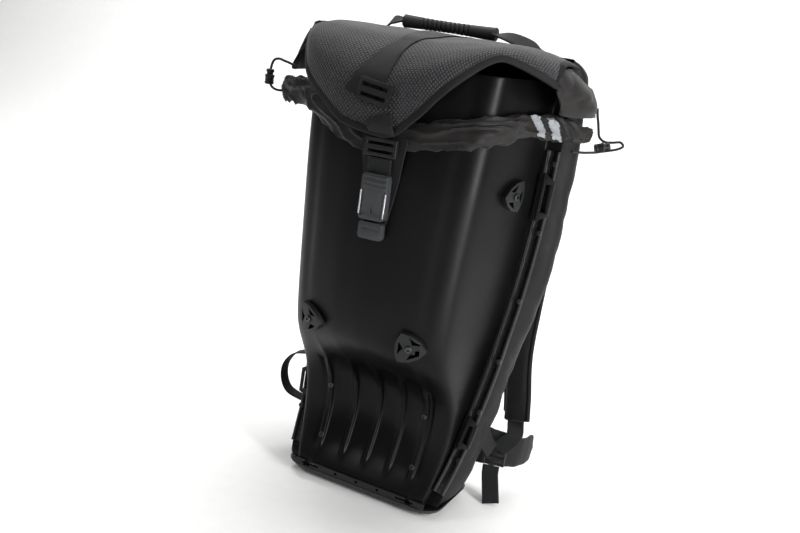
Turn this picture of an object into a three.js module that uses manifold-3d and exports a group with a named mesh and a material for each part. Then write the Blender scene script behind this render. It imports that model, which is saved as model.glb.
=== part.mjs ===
/**
 * A hard shell backpack, in millimetres. +X is to the viewer's right, +Y towards the wearer's back and +Z up.
 * The origin is on the flat base, below the line of the two side rails. The hood is closed and buckled.
 */
import * as THREE from "three";
import { mergeVertices } from "three/addons/utils/BufferGeometryUtils.js";
import Module from "manifold-3d";

const wasm = await Module();
wasm.setup();

// Driving sizes of the body
const shellHeight = 535; // base to the shell's mouth
const railHalfWidth = 156; // middle plane to a rail, at the widest
const frontDepth = 142; // rail line to the crown of the front
const bodyHalfWidth = 171; // middle plane to the fabric body's widest point
const bodyDepth = 62; // rail line to the back wall
const shellWall = 3;
const fabricWall = 2;
const seatGap = 0.35; // kept between pieces that rest on each other

// Edges of the shell
const ridgeRadius = 14; // front corner
const flangeIn = 13; // rail line to the inner end of the side flange
const flangeOut = 3.5; // rail line to its outer end
const footRadius = 4; // side face into flange
const lipDrop = 10; // height of the lip's upright front
const trayHeight = 11.6;
const trayWall = 3;

// Ribs of the scoop
const ribHeight = 4.5;
const ribShares = [0, 0.37, 0.74]; // places across the front, from its middle to the ridge
const ribHalfShare = 0.065;

// Rails, lugs, screws and anchors
const railThickness = 4; // at its two beads
const railChannel = 1.8; // between them
const lugThickness = 3.6;
const lugReach = 14.5; // across the rail
const lugBar = 3.4; // material round the slot
const screwRadius = 3.4;
const screwHeight = 2.6;
const anchorRadius = 21;
const anchorThickness = 6;

// Hood, collar and handle
const hoodTop = 566; // base to the hood's crest
const hoodHalfWidth = 155;
const hoodFront = 156; // rail line to the flap's tip
const hoodFlap = 112; // crest to the flap's tip, downwards
const hoodBack = 6; // rail line to the hood's back edge
const hoodWall = 2;
const collarHalfHeight = 13;
const collarThickness = 12;
const handleLength = 122;
const handleRadius = 7.5;
const handleLevel = 574;

// Buckle and webbing
const webWidth = 34;
const webThickness = 1.6;
const buckleWidth = 31;
const buckleHeight = 50;
const buckleThickness = 11;
const cordDiameter = 3;

// Back
const padThickness = 16;
const strapWidth = 62;
const strapThickness = 12;

/** Shell sections, by share of its height. Widths are shares of railHalfWidth, depths of frontDepth. */
const shellRows = [
  { at: 0.022, rail: 0.665, railBack: -0.43, ridge: 0.625, ridgeFront: 0.505, front: 0.515 },
  { at: 0.041, rail: 0.672, railBack: -0.42, ridge: 0.63, ridgeFront: 0.51, front: 0.515 },
  { at: 0.055, rail: 0.684, railBack: -0.39, ridge: 0.638, ridgeFront: 0.49, front: 0.485 },
  { at: 0.075, rail: 0.699, railBack: -0.35, ridge: 0.648, ridgeFront: 0.465, front: 0.425 },
  { at: 0.128, rail: 0.728, railBack: -0.225, ridge: 0.665, ridgeFront: 0.42, front: 0.325 },
  { at: 0.187, rail: 0.757, railBack: -0.15, ridge: 0.675, ridgeFront: 0.4, front: 0.26 },
  { at: 0.241, rail: 0.784, railBack: -0.1, ridge: 0.675, ridgeFront: 0.425, front: 0.275 },
  { at: 0.299, rail: 0.814, railBack: -0.056, ridge: 0.665, ridgeFront: 0.525, front: 0.42 },
  { at: 0.345, rail: 0.838, railBack: -0.038, ridge: 0.652, ridgeFront: 0.65, front: 0.68 },
  { at: 0.385, rail: 0.855, railBack: -0.025, ridge: 0.645, ridgeFront: 0.735, front: 0.87 },
  { at: 0.42, rail: 0.869, railBack: -0.014, ridge: 0.642, ridgeFront: 0.765, front: 0.95 },
  { at: 0.5, rail: 0.905, railBack: 0.005, ridge: 0.65, ridgeFront: 0.785, front: 0.99 },
  { at: 0.67, rail: 0.962, railBack: 0.014, ridge: 0.68, ridgeFront: 0.79, front: 1 },
  { at: 0.82, rail: 0.987, railBack: 0, ridge: 0.712, ridgeFront: 0.782, front: 1 },
  { at: 1, rail: 1, railBack: 0, ridge: 0.735, ridgeFront: 0.745, front: 0.9 },
];

/** Fabric body, by share of shellHeight. Widths are shares of bodyHalfWidth, depths of bodyDepth. */
const bodyRows = [
  { at: 0.022, side: 0.64, back: 0.62 },
  { at: 0.12, side: 0.72, back: 0.78 },
  { at: 0.24, side: 0.775, back: 0.95 },
  { at: 0.37, side: 0.835, back: 1 },
  { at: 0.43, side: 0.875, back: 1 },
  { at: 0.56, side: 0.965, back: 0.98 },
  { at: 0.68, side: 0.99, back: 0.96 },
  { at: 0.84, side: 1, back: 0.94 },
  { at: 1, side: 0.985, back: 0.92 },
  { at: 1.022, side: 0.965, back: 0.86 },
  { at: 1.038, side: 0.93, back: 0.62 },
  { at: 1.046, side: 0.88, back: 0.32 },
  { at: 1.0475, side: 0.85, back: 0.14 },
];

/**
 * The hood from its left side (0) to its right (1). across and edge are the middle's and the front edge's
 * shares of hoodHalfWidth, reach the front edge's share of hoodFront, drop its share of hoodFlap.
 */
const hoodRows = [
  { at: 0, across: -0.95, edge: -0.955, reach: 0.45, drop: 0.177, sag: 0.07 },
  { at: 0.09, across: -0.84, edge: -0.745, reach: 0.765, drop: 0.56, sag: 0.015 },
  { at: 0.18, across: -0.66, edge: -0.5, reach: 0.89, drop: 0.78, sag: 0 },
  { at: 0.32, across: -0.34, edge: -0.25, reach: 0.985, drop: 0.947, sag: 0 },
  { at: 0.45, across: 0, edge: 0.077, reach: 1, drop: 1, sag: 0 },
  { at: 0.56, across: 0.22, edge: 0.27, reach: 0.985, drop: 0.81, sag: 0 },
  { at: 0.66, across: 0.4, edge: 0.42, reach: 0.95, drop: 0.55, sag: 0 },
  { at: 0.76, across: 0.56, edge: 0.57, reach: 0.84, drop: 0.31, sag: 0 },
  { at: 0.85, across: 0.71, edge: 0.71, reach: 0.69, drop: 0.15, sag: 0 },
  { at: 0.93, across: 0.87, edge: 0.87, reach: 0.53, drop: 0.23, sag: 0.02 },
  { at: 1, across: 1.015, edge: 1.035, reach: 0.385, drop: 0.345, sag: 0.1 },
];

/** The collar's middle line, by share of its way round, as heights in shares of shellHeight. */
const collarRows = [
  { at: 0, level: 0.885 },
  { at: 0.3, level: 0.895 },
  { at: 0.5, level: 0.838 },
  { at: 0.62, level: 0.868 },
  { at: 0.72, level: 0.892 },
  { at: 0.85, level: 0.906 },
  { at: 1, level: 0.895 },
];

/**
 * The gussets' lower edges from back to front: across in shares of bodyHalfWidth, behind of bodyDepth. The left
 * one puffs out round the hood's front corner.
 */
const gussetRows = {
  left: [
    { at: 0, across: 0.9, behind: 1.02, bulge: 0.02 },
    { at: 0.25, across: 1.02, behind: 0.6, bulge: 0.045 },
    { at: 0.5, across: 1.04, behind: 0, bulge: 0.04 },
    { at: 0.75, across: 1.02, behind: -0.65, bulge: 0.03 },
    { at: 1, across: 0.96, behind: -1.2, bulge: 0.03 },
  ],
  right: [
    { at: 0, across: 0.9, behind: 1.02, bulge: 0.03 },
    { at: 0.25, across: 1.03, behind: 0.72, bulge: 0.09 },
    { at: 0.5, across: 1.05, behind: 0.3, bulge: 0.085 },
    { at: 0.75, across: 1.02, behind: -0.1, bulge: 0.05 },
    { at: 1, across: 0.93, behind: -0.52, bulge: 0.01 },
  ],
};

/** The shoulder strap's middle line. across is a share of bodyHalfWidth, behind of bodyDepth, up of shellHeight. */
const strapRows = [
  { across: 0.26, behind: 1.27, up: 0.93 },
  { across: 0.34, behind: 1.75, up: 0.87 },
  { across: 0.47, behind: 2.2, up: 0.76 },
  { across: 0.57, behind: 2.25, up: 0.6 },
  { across: 0.62, behind: 2, up: 0.45 },
  { across: 0.68, behind: 1.72, up: 0.34 },
  { across: 0.78, behind: 1.45, up: 0.24 },
  { across: 0.83, behind: 1.28, up: 0.175 },
];

const black = { shell: 0x1b1c1e, trim: 0x161617, cloth: 0x1d1c1e, mesh: 0x2b292e, metal: 0x8d9094 };
const finish = {
  shell: new THREE.MeshStandardMaterial({ color: black.shell, roughness: 0.45, metalness: 0 }),
  trim: new THREE.MeshStandardMaterial({ color: black.trim, roughness: 0.6, metalness: 0 }),
  cloth: new THREE.MeshStandardMaterial({ color: black.cloth, roughness: 0.9, metalness: 0 }),
  mesh: new THREE.MeshStandardMaterial({ color: black.mesh, roughness: 0.85, metalness: 0 }),
  metal: new THREE.MeshStandardMaterial({ color: black.metal, roughness: 0.35, metalness: 1 }),
  reflective: new THREE.MeshStandardMaterial({ color: 0xd9dbdc, roughness: 0.4, metalness: 0.1 }),
};

const group = new THREE.Group();

function place(name, geometry, material) {
  const mesh = new THREE.Mesh(geometry, material);
  mesh.name = name;
  group.add(mesh);
  return mesh;
}

const point = (x, y, z) => new THREE.Vector3(x, y, z);
const span = (from, to, count) => Array.from({ length: count }, (_, i) => from + ((to - from) * i) / (count - 1));
const mirrored = (side, p) => point(side * p.x, p.y, p.z);

/** A smooth value from the rows of a table, which never overshoots its rows. */
function follow(rows, key, at) {
  const last = rows.length - 1;
  const x = THREE.MathUtils.clamp(at, rows[0].at, rows[last].at);
  let i = 0;
  while (i < last - 1 && x > rows[i + 1].at) i += 1;
  const slope = (k) => (rows[k + 1][key] - rows[k][key]) / (rows[k + 1].at - rows[k].at);
  const tangent = (k) => {
    if (k === 0) return slope(0);
    if (k === last) return slope(last - 1);
    const [a, b] = [slope(k - 1), slope(k)];
    return a * b > 0 ? (2 * a * b) / (a + b) : 0;
  };
  const run = rows[i + 1].at - rows[i].at;
  const t = (x - rows[i].at) / run;
  const [t2, t3] = [t * t, t * t * t];
  return (
    (2 * t3 - 3 * t2 + 1) * rows[i][key] +
    (t3 - 2 * t2 + t) * run * tangent(i) +
    (3 * t2 - 2 * t3) * rows[i + 1][key] +
    (t3 - t2) * run * tangent(i + 1)
  );
}

/** Closed geometry from points and triangles, turned so that its faces point outwards. */
function closed(points, triangles) {
  let volume = 0;
  for (const [a, b, c] of triangles) volume += points[a].dot(points[b].clone().cross(points[c]));
  const index = triangles.flatMap(([a, b, c]) => (volume < 0 ? [a, c, b] : [a, b, c]));
  const geometry = new THREE.BufferGeometry();
  geometry.setAttribute("position", new THREE.Float32BufferAttribute(points.flatMap((p) => [p.x, p.y, p.z]), 3));
  geometry.setIndex(index);
  return geometry;
}

/** A wall over a grid. face(u, v, depth) gives the outer point at depth 0 and the inner one at depth 1. */
function wall(us, vs, face) {
  const [n, m] = [us.length, vs.length];
  const points = [0, 1].flatMap((depth) => vs.flatMap((v) => us.map((u) => face(u, v, depth))));
  const at = (depth, i, j) => depth * n * m + j * n + i;
  const triangles = [];
  const quad = (a, b, c, d) => triangles.push([a, b, c], [a, c, d]);
  for (let j = 0; j < m - 1; j += 1) {
    for (let i = 0; i < n - 1; i += 1) {
      quad(at(0, i, j), at(0, i + 1, j), at(0, i + 1, j + 1), at(0, i, j + 1));
      quad(at(1, i, j), at(1, i, j + 1), at(1, i + 1, j + 1), at(1, i + 1, j));
    }
    quad(at(0, 0, j), at(0, 0, j + 1), at(1, 0, j + 1), at(1, 0, j));
    quad(at(0, n - 1, j + 1), at(0, n - 1, j), at(1, n - 1, j), at(1, n - 1, j + 1));
  }
  for (let i = 0; i < n - 1; i += 1) {
    quad(at(0, i + 1, 0), at(0, i, 0), at(1, i, 0), at(1, i + 1, 0));
    quad(at(0, i, m - 1), at(0, i + 1, m - 1), at(1, i + 1, m - 1), at(1, i, m - 1));
  }
  return closed(points, triangles);
}

/** A skin over rings of points, closed at both ends by a fan round each end ring's middle. */
function skin(rings) {
  const n = rings[0].length;
  const points = rings.flat();
  const triangles = [];
  for (let j = 0; j < rings.length - 1; j += 1) {
    for (let i = 0; i < n; i += 1) {
      const [a, b] = [j * n + i, j * n + ((i + 1) % n)];
      triangles.push([a, b, b + n], [a, b + n, a + n]);
    }
  }
  for (const [ring, turn] of [[0, true], [rings.length - 1, false]]) {
    const middle = points.length;
    points.push(rings[ring].reduce((sum, p) => sum.add(p), point(0, 0, 0)).divideScalar(n));
    for (let i = 0; i < n; i += 1) {
      const [a, b] = [ring * n + i, ring * n + ((i + 1) % n)];
      triangles.push(turn ? [b, a, middle] : [a, b, middle]);
    }
  }
  return closed(points, triangles);
}

function toSolid(geometry) {
  const bare = geometry.clone();
  bare.deleteAttribute("normal");
  bare.deleteAttribute("uv");
  const merged = mergeVertices(bare, 1e-4);
  const mesh = new wasm.Mesh({
    numProp: 3,
    vertProperties: new Float32Array(merged.attributes.position.array),
    triVerts: new Uint32Array(merged.index.array),
  });
  return new wasm.Manifold(mesh);
}

function toGeometry(solid) {
  const mesh = solid.getMesh();
  const geometry = new THREE.BufferGeometry();
  geometry.setAttribute("position", new THREE.Float32BufferAttribute(mesh.vertProperties, 3));
  geometry.setIndex(Array.from(mesh.triVerts));
  return geometry;
}

/** A geometry less the cutters, keeping only its largest piece. */
function cut(geometry, ...cutters) {
  let solid = toSolid(geometry);
  for (const cutter of cutters) solid = solid.subtract(toSolid(cutter));
  const pieces = solid.decompose();
  pieces.sort((a, b) => b.volume() - a.volume());
  return toGeometry(pieces[0]);
}

function joined(...geometries) {
  return toGeometry(wasm.Manifold.union(geometries.map(toSolid)));
}

/** Turns a shape made round the origin so that its z follows out and its y follows up, and moves it to a place. */
function seated(geometry, at, out, up = point(0, 0, 1)) {
  const z = out.clone().normalize();
  const x = up.clone().cross(z).normalize();
  const y = z.clone().cross(x);
  const copy = geometry.clone();
  copy.applyMatrix4(new THREE.Matrix4().makeBasis(x, y, z).setPosition(at));
  return copy;
}

/** A flat outline with rounded corners, of a given thickness from z = 0 up. */
function plate(shape, thickness, curveSegments = 3) {
  return new THREE.ExtrudeGeometry(shape, { depth: thickness, bevelEnabled: false, curveSegments });
}

function roundedBox(width, height, thickness, radius) {
  const [x, y] = [width / 2, height / 2];
  const shape = new THREE.Shape();
  shape.moveTo(-x + radius, -y);
  shape.lineTo(x - radius, -y);
  shape.quadraticCurveTo(x, -y, x, -y + radius);
  shape.lineTo(x, y - radius);
  shape.quadraticCurveTo(x, y, x - radius, y);
  shape.lineTo(-x + radius, y);
  shape.quadraticCurveTo(-x, y, -x, y - radius);
  shape.lineTo(-x, -y + radius);
  shape.quadraticCurveTo(-x, -y, -x + radius, -y);
  return plate(shape, thickness);
}

// Shell

function bezier(a, b, c, t) {
  return a.clone().multiplyScalar((1 - t) ** 2).addScaledVector(b, 2 * t * (1 - t)).addScaledVector(c, t * t);
}

/**
 * A point of the shell's bare outer face. Stations run from 0 in the middle of the front over 1 to 2, the ridge's
 * round, 3, the end of the side face, and 4 to 5, the flange. A negative station is on the left.
 */
function bareShell(station, level) {
  const at = level / shellHeight;
  const width = (key) => railHalfWidth * follow(shellRows, key, at);
  const depth = (key) => frontDepth * follow(shellRows, key, at);
  const rail = new THREE.Vector2(width("rail"), depth("railBack"));
  const ridge = new THREE.Vector2(width("ridge"), -depth("ridgeFront"));
  const front = -depth("front");
  const foot = new THREE.Vector2(rail.x - flangeIn - footRadius, rail.y);
  const down = foot.clone().sub(ridge).normalize();
  const arch = (x) => new THREE.Vector2(x, front + (ridge.y - front) * (x / ridge.x) ** 2);
  const inner = new THREE.Vector2(rail.x - flangeIn, rail.y);
  const outer = new THREE.Vector2(rail.x + flangeOut, rail.y);
  const sideTop = ridge.clone().addScaledVector(down, ridgeRadius);
  const sideEnd = foot.clone().addScaledVector(down, -footRadius);
  const s = Math.abs(station);
  const shoulder = ridge.x - ridgeRadius;
  let p = inner.clone().lerp(outer, s - 4);
  if (s <= 1) p = arch(shoulder * s);
  else if (s <= 2) p = bezier(arch(shoulder), ridge, sideTop, s - 1);
  else if (s <= 3) p = sideTop.clone().lerp(sideEnd, s - 2);
  else if (s <= 4) p = bezier(sideEnd, foot, inner, s - 3);
  return point(station < 0 ? -p.x : p.x, p.y, level);
}

/** The same point moved out along the shell's normal. */
function shellPoint(station, level, out) {
  const step = 0.02;
  const across = bareShell(station + step, level).sub(bareShell(station - step, level));
  const up = bareShell(station, level + 1).sub(bareShell(station, level - 1));
  return bareShell(station, level).addScaledVector(across.cross(up).normalize(), out);
}

function shellNormal(station, level) {
  return shellPoint(station, level, 1).sub(bareShell(station, level));
}

const smooth = THREE.MathUtils.smoothstep;

/** How far the scoop's ribs stand proud, and the crease beside the ridge lies low. */
function shellRelief(station, level) {
  const s = Math.abs(station);
  if (s > 1) return 0;
  const at = level / shellHeight;
  const ribSpan = smooth(at, 0.06, 0.1) * (1 - smooth(at, 0.3, 0.37));
  const away = Math.min(...ribShares.map((rib) => Math.abs(s - rib)));
  const rib = 1 - smooth(away, 0, ribHalfShare);
  const crease = smooth(at, 0.42, 0.5) * (Math.abs(s - 0.9) < 0.02 ? 1 : 0);
  return ribHeight * rib * ribSpan - 1.4 * crease;
}

const lipTop = trayHeight + seatGap + lipDrop;
const shellFoot = trayHeight + seatGap;
const levels = [shellFoot, lipTop, ...[0.056, 0.088].map((at) => at * shellHeight)];
levels.push(...span(0.128, 0.44, 8).map((at) => at * shellHeight));
levels.push(...span(0.5, 1, 6).map((at) => at * shellHeight));

function ribStations() {
  const offsets = [-1, 0, 1].map((side) => side * ribHalfShare);
  return ribShares.flatMap((rib) => offsets.map((offset) => rib + offset)).filter((s) => s > 0);
}
const halfStations = [...ribStations(), 0.9, 1, 1.5, 2, 2.5, 3, 3.5, 4, 5].sort((a, b) => a - b);
const stations = [...halfStations.map((s) => -s).reverse(), 0, ...halfStations];

function shellSolid(outer, inner, past = 0) {
  return wall(stations, levels, (s, level, depth) => {
    const station = Math.abs(s) === 5 ? s * (1 + past) : s;
    return shellPoint(station, level, depth ? inner : outer + shellRelief(s, level));
  });
}
place("shell", shellSolid(0, -shellWall), finish.shell);

/** The shell with a gap round it, to seat other pieces on. */
const shellCutter = shellSolid(seatGap, -shellWall - 25, 0.02);

// Fabric body behind the rails

/** A point of the body's outer face. Stations run from 0 in the middle of the back to 1 at the rail. */
function bodyPoint(station, level, inset) {
  const at = level / shellHeight;
  const side = bodyHalfWidth * follow(bodyRows, "side", at) - inset;
  const back = bodyDepth * follow(bodyRows, "back", at) - inset;
  const flangeLevel = Math.min(level, shellHeight);
  const start = shellPoint(4.55, flangeLevel, -shellWall - seatGap);
  start.x -= inset;
  const corner = Math.min(34, 0.8 * (back - start.y));
  const line = new THREE.SplineCurve([
    new THREE.Vector2(0, back),
    new THREE.Vector2(side * 0.5, back),
    new THREE.Vector2(side - corner, back - 1),
    new THREE.Vector2(side - corner * 0.25, back - corner * 0.35),
    new THREE.Vector2(side, back - corner),
    new THREE.Vector2((side + start.x) / 2 + 2, start.y + (back - corner - start.y) * 0.35),
    new THREE.Vector2(start.x, start.y),
  ]);
  const p = line.getPoint(Math.abs(station));
  const edge = smooth(Math.abs(station), 0.8, 1);
  const z = level + edge * (start.z - flangeLevel);
  return point(station < 0 ? -p.x : p.x, p.y, z);
}
const halfBody = [0.33, 0.46, 0.56, 0.67, 0.83, 1];
const bodyStations = [...halfBody.map((s) => -s).reverse(), 0, ...halfBody];
const bodyLevels = [...levels, ...bodyRows.filter((row) => row.at > 1).map((row) => row.at * shellHeight)];
function bodySolid(outer, inner) {
  return wall(bodyStations, bodyLevels, (s, level, depth) => bodyPoint(-s, level, depth ? inner : -outer));
}
place("back_body", bodySolid(0, fabricWall), finish.cloth);

/** The fabric body with a gap round it, to seat other pieces on. */
const bodyCutter = bodySolid(seatGap, fabricWall + 20);

// Base tray

/** A level outline round the bottom of the body. */
function trayRing(level, inset, radius) {
  const [x, front] = [railHalfWidth * 0.7 - inset, -frontDepth * 0.527 + inset];
  const back = bodyDepth * 0.65 - inset;
  const corners = [[x, front, -90], [x, back, 0], [-x, back, 90], [-x, front, 180]];
  return corners.flatMap(([cx, cy, start]) => span(0, 90, 5).map((turn) => {
    const angle = THREE.MathUtils.degToRad(start + turn);
    const middle = [cx - Math.sign(cx) * radius, cy - Math.sign(cy) * radius];
    return point(middle[0] + radius * Math.cos(angle), middle[1] + radius * Math.sin(angle), level);
  }));
}
place(
  "base_tray",
  skin([
    trayRing(0, 13, 30),
    trayRing(trayHeight * 0.3, 5, 27),
    trayRing(trayHeight, 0, 24),
    trayRing(trayHeight, trayWall, 22),
    trayRing(trayWall + 1, trayWall + 10, 20),
  ]),
  finish.trim,
);

// Rails on the side flanges, with their screws and lugs

const railLow = 0.056 * shellHeight;
const railHigh = 0.855 * shellHeight;
const railLevels = levels.filter((level) => level > railLow && level < railHigh);
railLevels.unshift(railLow);
railLevels.push(railHigh);
const railBase = seatGap + 0.2;

function rail(side) {
  const beads = [4.03, 4.24, 4.31, 4.68, 4.75, 4.97];
  const height = (s) => (s > 4.28 && s < 4.7 ? railChannel : railThickness);
  return wall(beads.map((s) => side * s), railLevels, (s, level, depth) => {
    return shellPoint(s, level, railBase + (depth ? 0 : height(Math.abs(s))));
  });
}

/** The slotted lug, made flat: x away from the rail, y up, z out. */
function lug(height) {
  const [low, high] = [-height / 2, height / 2];
  const ramp = 0.16 * height;
  const shape = new THREE.Shape();
  shape.moveTo(0, low);
  shape.lineTo(lugReach, low + ramp);
  shape.lineTo(lugReach, high - ramp);
  shape.lineTo(0, high);
  const hole = new THREE.Path();
  const side = lugReach - lugBar;
  hole.moveTo(lugBar, low + ramp + lugBar);
  hole.lineTo(lugBar, high - ramp - lugBar);
  hole.lineTo(side, high - ramp - lugBar);
  hole.lineTo(side, low + ramp + lugBar);
  shape.holes.push(hole);
  return plate(shape, lugThickness);
}

const screw = new THREE.CylinderGeometry(screwRadius, screwRadius, screwHeight, 6);
screw.rotateX(Math.PI / 2);
screw.translate(0, 0, screwHeight / 2);

/** The screws' heads are one with the rail, a little sunk in its outer bead. */
const railScrewStation = 4.79;
const screwSink = 0.4;
const railScrewShares = [0.13, 0.247, 0.372, 0.518, 0.677, 0.83];
const lugs = { upper: { at: 0.755, height: 58 }, lower: { at: 0.192, height: 44 } };

for (const [side, name] of [[-1, "left"], [1, "right"]]) {
  const heads = railScrewShares.map((share) => {
    const [station, level] = [side * railScrewStation, share * shellHeight];
    return seated(screw, shellPoint(station, level, railBase + railThickness - screwSink), shellNormal(station, level));
  });
  place(`rail_${name}`, joined(rail(side), ...heads), finish.trim);
  for (const [where, row] of Object.entries(lugs)) {
    const level = row.at * shellHeight;
    const half = row.height / 2;
    const edge = side * 4.27;
    const up = shellPoint(edge, level + half, railBase).sub(shellPoint(edge, level - half, railBase));
    const out = shellNormal(edge, level);
    const flat = lug(row.height);
    if (side < 0) flat.rotateY(Math.PI).translate(0, 0, lugThickness);
    const at = shellPoint(edge, level, railBase + railThickness + seatGap);
    place(`lug_${where}_${name}`, cut(seated(flat, at, out, up), rail(side), shellCutter, ...heads), finish.trim);
  }
}

// Lip strip, with its two slots and three holes

const lipLength = 2 * railHalfWidth * 0.6;
const lipHeight = 7.5;
const lipThickness = 3;

const lipAt = point(0, -frontDepth * 0.515 - seatGap, shellFoot + lipDrop / 2);

function block(width, depth, height, at) {
  return new THREE.BoxGeometry(width, depth, height).translate(at.x, at.y, at.z);
}

function lipStrip() {
  const bar = block(lipLength, lipThickness, lipHeight, lipAt.clone().add(point(0, -lipThickness / 2, 0)));
  const window = (share, width, height) => {
    return block(width, 4 * lipThickness, height, lipAt.clone().add(point(share * lipLength, 0, 0)));
  };
  const slots = [-0.36, 0.36].map((share) => window(share, 0.13 * lipLength, 2.6));
  const holes = [-0.16, 0, 0.16].map((share) => window(share, 3.4, 3.4));
  return cut(bar, ...slots, ...holes, shellCutter);
}
place("lip_strip", lipStrip(), finish.trim);

// Anchors: three-cornered plates with a pierced star, and the screws of the outer ribs

function anchorShape() {
  const shape = new THREE.Shape();
  const corner = (turn, radius) => new THREE.Vector2(
    radius * Math.cos(THREE.MathUtils.degToRad(turn)),
    radius * Math.sin(THREE.MathUtils.degToRad(turn)),
  );
  const outline = (path, radius, bulge) => {
    for (let i = 0; i <= 3; i += 1) {
      const turn = 90 + 120 * i;
      const tip = corner(turn, radius);
      if (i === 0) path.moveTo(tip.x, tip.y);
      else {
        const control = corner(turn - 60, bulge);
        path.quadraticCurveTo(control.x, control.y, tip.x, tip.y);
      }
    }
  };
  outline(shape, anchorRadius, anchorRadius * 1.02);
  for (const turn of [30, 150, 270]) {
    const window = new THREE.Path();
    const points = [[-34, 0.68], [34, 0.68], [0, 0.3]].map(([offset, share]) => corner(turn + offset, anchorRadius * share));
    points.forEach((p, i) => (i ? window.lineTo(p.x, p.y) : window.moveTo(p.x, p.y)));
    shape.holes.push(window);
  }
  return plate(shape, anchorThickness + 3, 3);
}

function onShell(name, geometry, station, level, sink, out, material, turn = 0) {
  const copy = geometry.clone();
  copy.rotateZ(turn);
  const normal = shellNormal(station, level);
  const at = shellPoint(station, level, out - sink);
  return place(name, cut(seated(copy, at, normal), shellCutter), material);
}

const anchors = [
  ["anchor_upper_left", -2.54, 0.757, -90],
  ["anchor_upper_right", 2.54, 0.757, 90],
  ["anchor_lower_left", -0.74, 0.424, -90],
  ["anchor_lower_right", 0.74, 0.424, -90],
];
for (const [name, station, share, turn] of anchors) {
  const level = share * shellHeight;
  onShell(name, anchorShape(), station, level, 3, 0, finish.trim, THREE.MathUtils.degToRad(turn));
}
const scoopScrews = [["upper", 0.224], ["lower", 0.099]];
for (const [side, name] of [[-1, "left"], [1, "right"]]) {
  for (const [where, share] of scoopScrews) {
    const [station, level] = [side * ribShares[2], share * shellHeight];
    const at = shellPoint(station, level, ribHeight - 0.3 + seatGap);
    const head = cut(seated(screw, at, shellNormal(station, level)), shellCutter);
    place(`scoop_screw_${where}_${name}`, head, finish.metal);
  }
}

// Padding on the back

/** A crowned pad on the back wall, between two heights and two places across. */
function pad(left, right, low, high, thickness) {
  const share = [0, 0.08, 0.3, 0.7, 0.92, 1];
  const crown = (t) => Math.sqrt(Math.max(0, 1 - Math.abs(2 * t - 1) ** 4));
  const xs = share.map((t) => t);
  return wall(xs, share, (u, v, depth) => {
    const x = -THREE.MathUtils.lerp(left, right, u);
    const z = THREE.MathUtils.lerp(low, high, v);
    const back = bodyDepth * follow(bodyRows, "back", z / shellHeight) + seatGap + 0.4;
    const proud = depth ? 0 : 2.5 + (thickness - 2.5) * crown(u) * crown(v);
    return point(x, back + proud, z);
  });
}
const padHalf = 0.6 * bodyHalfWidth;
const spineHalf = 0.09 * bodyHalfWidth;
const padRows = [
  ["back_pad_left", -padHalf, -spineHalf, 0.42, 0.95],
  ["back_pad_right", spineHalf, padHalf, 0.42, 0.95],
  ["lumbar_pad", -0.56 * bodyHalfWidth, 0.56 * bodyHalfWidth, 0.1, 0.405],
];
for (const [name, left, right, low, high] of padRows) {
  place(name, cut(pad(left, right, low * shellHeight, high * shellHeight, padThickness), bodyCutter), finish.cloth);
}

// Straps and webbing

/** A strap along a smooth line. across(t) is the half width's direction, rise the crown of its outer face. */
function band(line, count, width, thickness, across, rise = 0, columns = 2) {
  const ts = span(0, 1, count);
  const us = span(-1, 1, columns);
  return wall(us, ts, (u, t, depth) => {
    const tangent = line.getTangentAt(t);
    const side = across(t).clone();
    side.addScaledVector(tangent, -side.dot(tangent)).normalize();
    const out = side.clone().cross(tangent).normalize();
    const half = thickness / 2 + (1 - u * u) * rise;
    const w = typeof width === "function" ? width(t) : width;
    return line.getPointAt(t).addScaledVector(side, (u * w) / 2).addScaledVector(out, depth ? -half : half);
  });
}
const spline = (points) => new THREE.CatmullRomCurve3(points, false, "centripetal");

for (const [side, name] of [[-1, "left"], [1, "right"]]) {
  const line = spline(strapRows.map((row) => {
    return point(side * row.across * bodyHalfWidth, row.behind * bodyDepth, row.up * shellHeight);
  }));
  const width = (t) => strapWidth * (1 - 0.35 * smooth(t, 0.55, 1));
  const turnedOut = (t) => point(1, -side * 0.35 * smooth(t, 0.3, 0.9), 0);
  const strap = band(line, 11, width, strapThickness * 0.5, turnedOut, strapThickness * 0.3, 5);
  const low = 0.42 * shellHeight;
  const high = 0.95 * shellHeight;
  const padCutter = pad(-padHalf - 5, padHalf + 5, low, high, padThickness + 2 * seatGap);
  place(`shoulder_strap_${name}`, cut(strap, padCutter), finish.cloth);
}

// Hip wings and low webbing, which hang to the surface that the pack stands on

const floorGap = 0.6;
const lowRows = {
  wing: [[0.58, 0.8, 0.12], [0.7, 0.9, 0.112], [0.8, 1.2, 0.1], [0.88, 1.6, 0.088], [0.9, 2.05, 0.085]],
  strap: [[0.712, 0.1, 0.2], [0.735, 0.35, 0.15], [0.765, 0.56, 0.122]],
  tail: [[0.775, 0.6, 0.0815], [0.78, 0.58, 0.06], [0.81, 0.5, 0.03], [0.85, 0.36, 0]],
};
function lowLine(rows, side, lift = 0) {
  return spline(rows.map(([across, behind, up]) => {
    return point(side * across * bodyHalfWidth, behind * bodyDepth, up * shellHeight + lift);
  }));
}
const tailWidth = 22;
const wingHeight = 56;
for (const [side, name] of [[-1, "left"], [1, "right"]]) {
  const upright = () => point(0, 0, side);
  const wing = band(lowLine(lowRows.wing, side), 7, (t) => wingHeight * (1 - 0.3 * t), 6, upright, 2, 5);
  place(`hip_wing_${name}`, cut(wing, bodyCutter), finish.cloth);
  const along = () => point(0.35, side, 0);
  const low = band(lowLine(lowRows.strap, side), 5, tailWidth, webThickness, along);
  place(`low_strap_${name}`, cut(low, bodyCutter), finish.cloth);
  const flat = () => point(side, 0.2, 0);
  place(`tail_${name}`, band(lowLine(lowRows.tail, side, floorGap), 8, tailWidth, webThickness, flat), finish.cloth);
}

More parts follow.
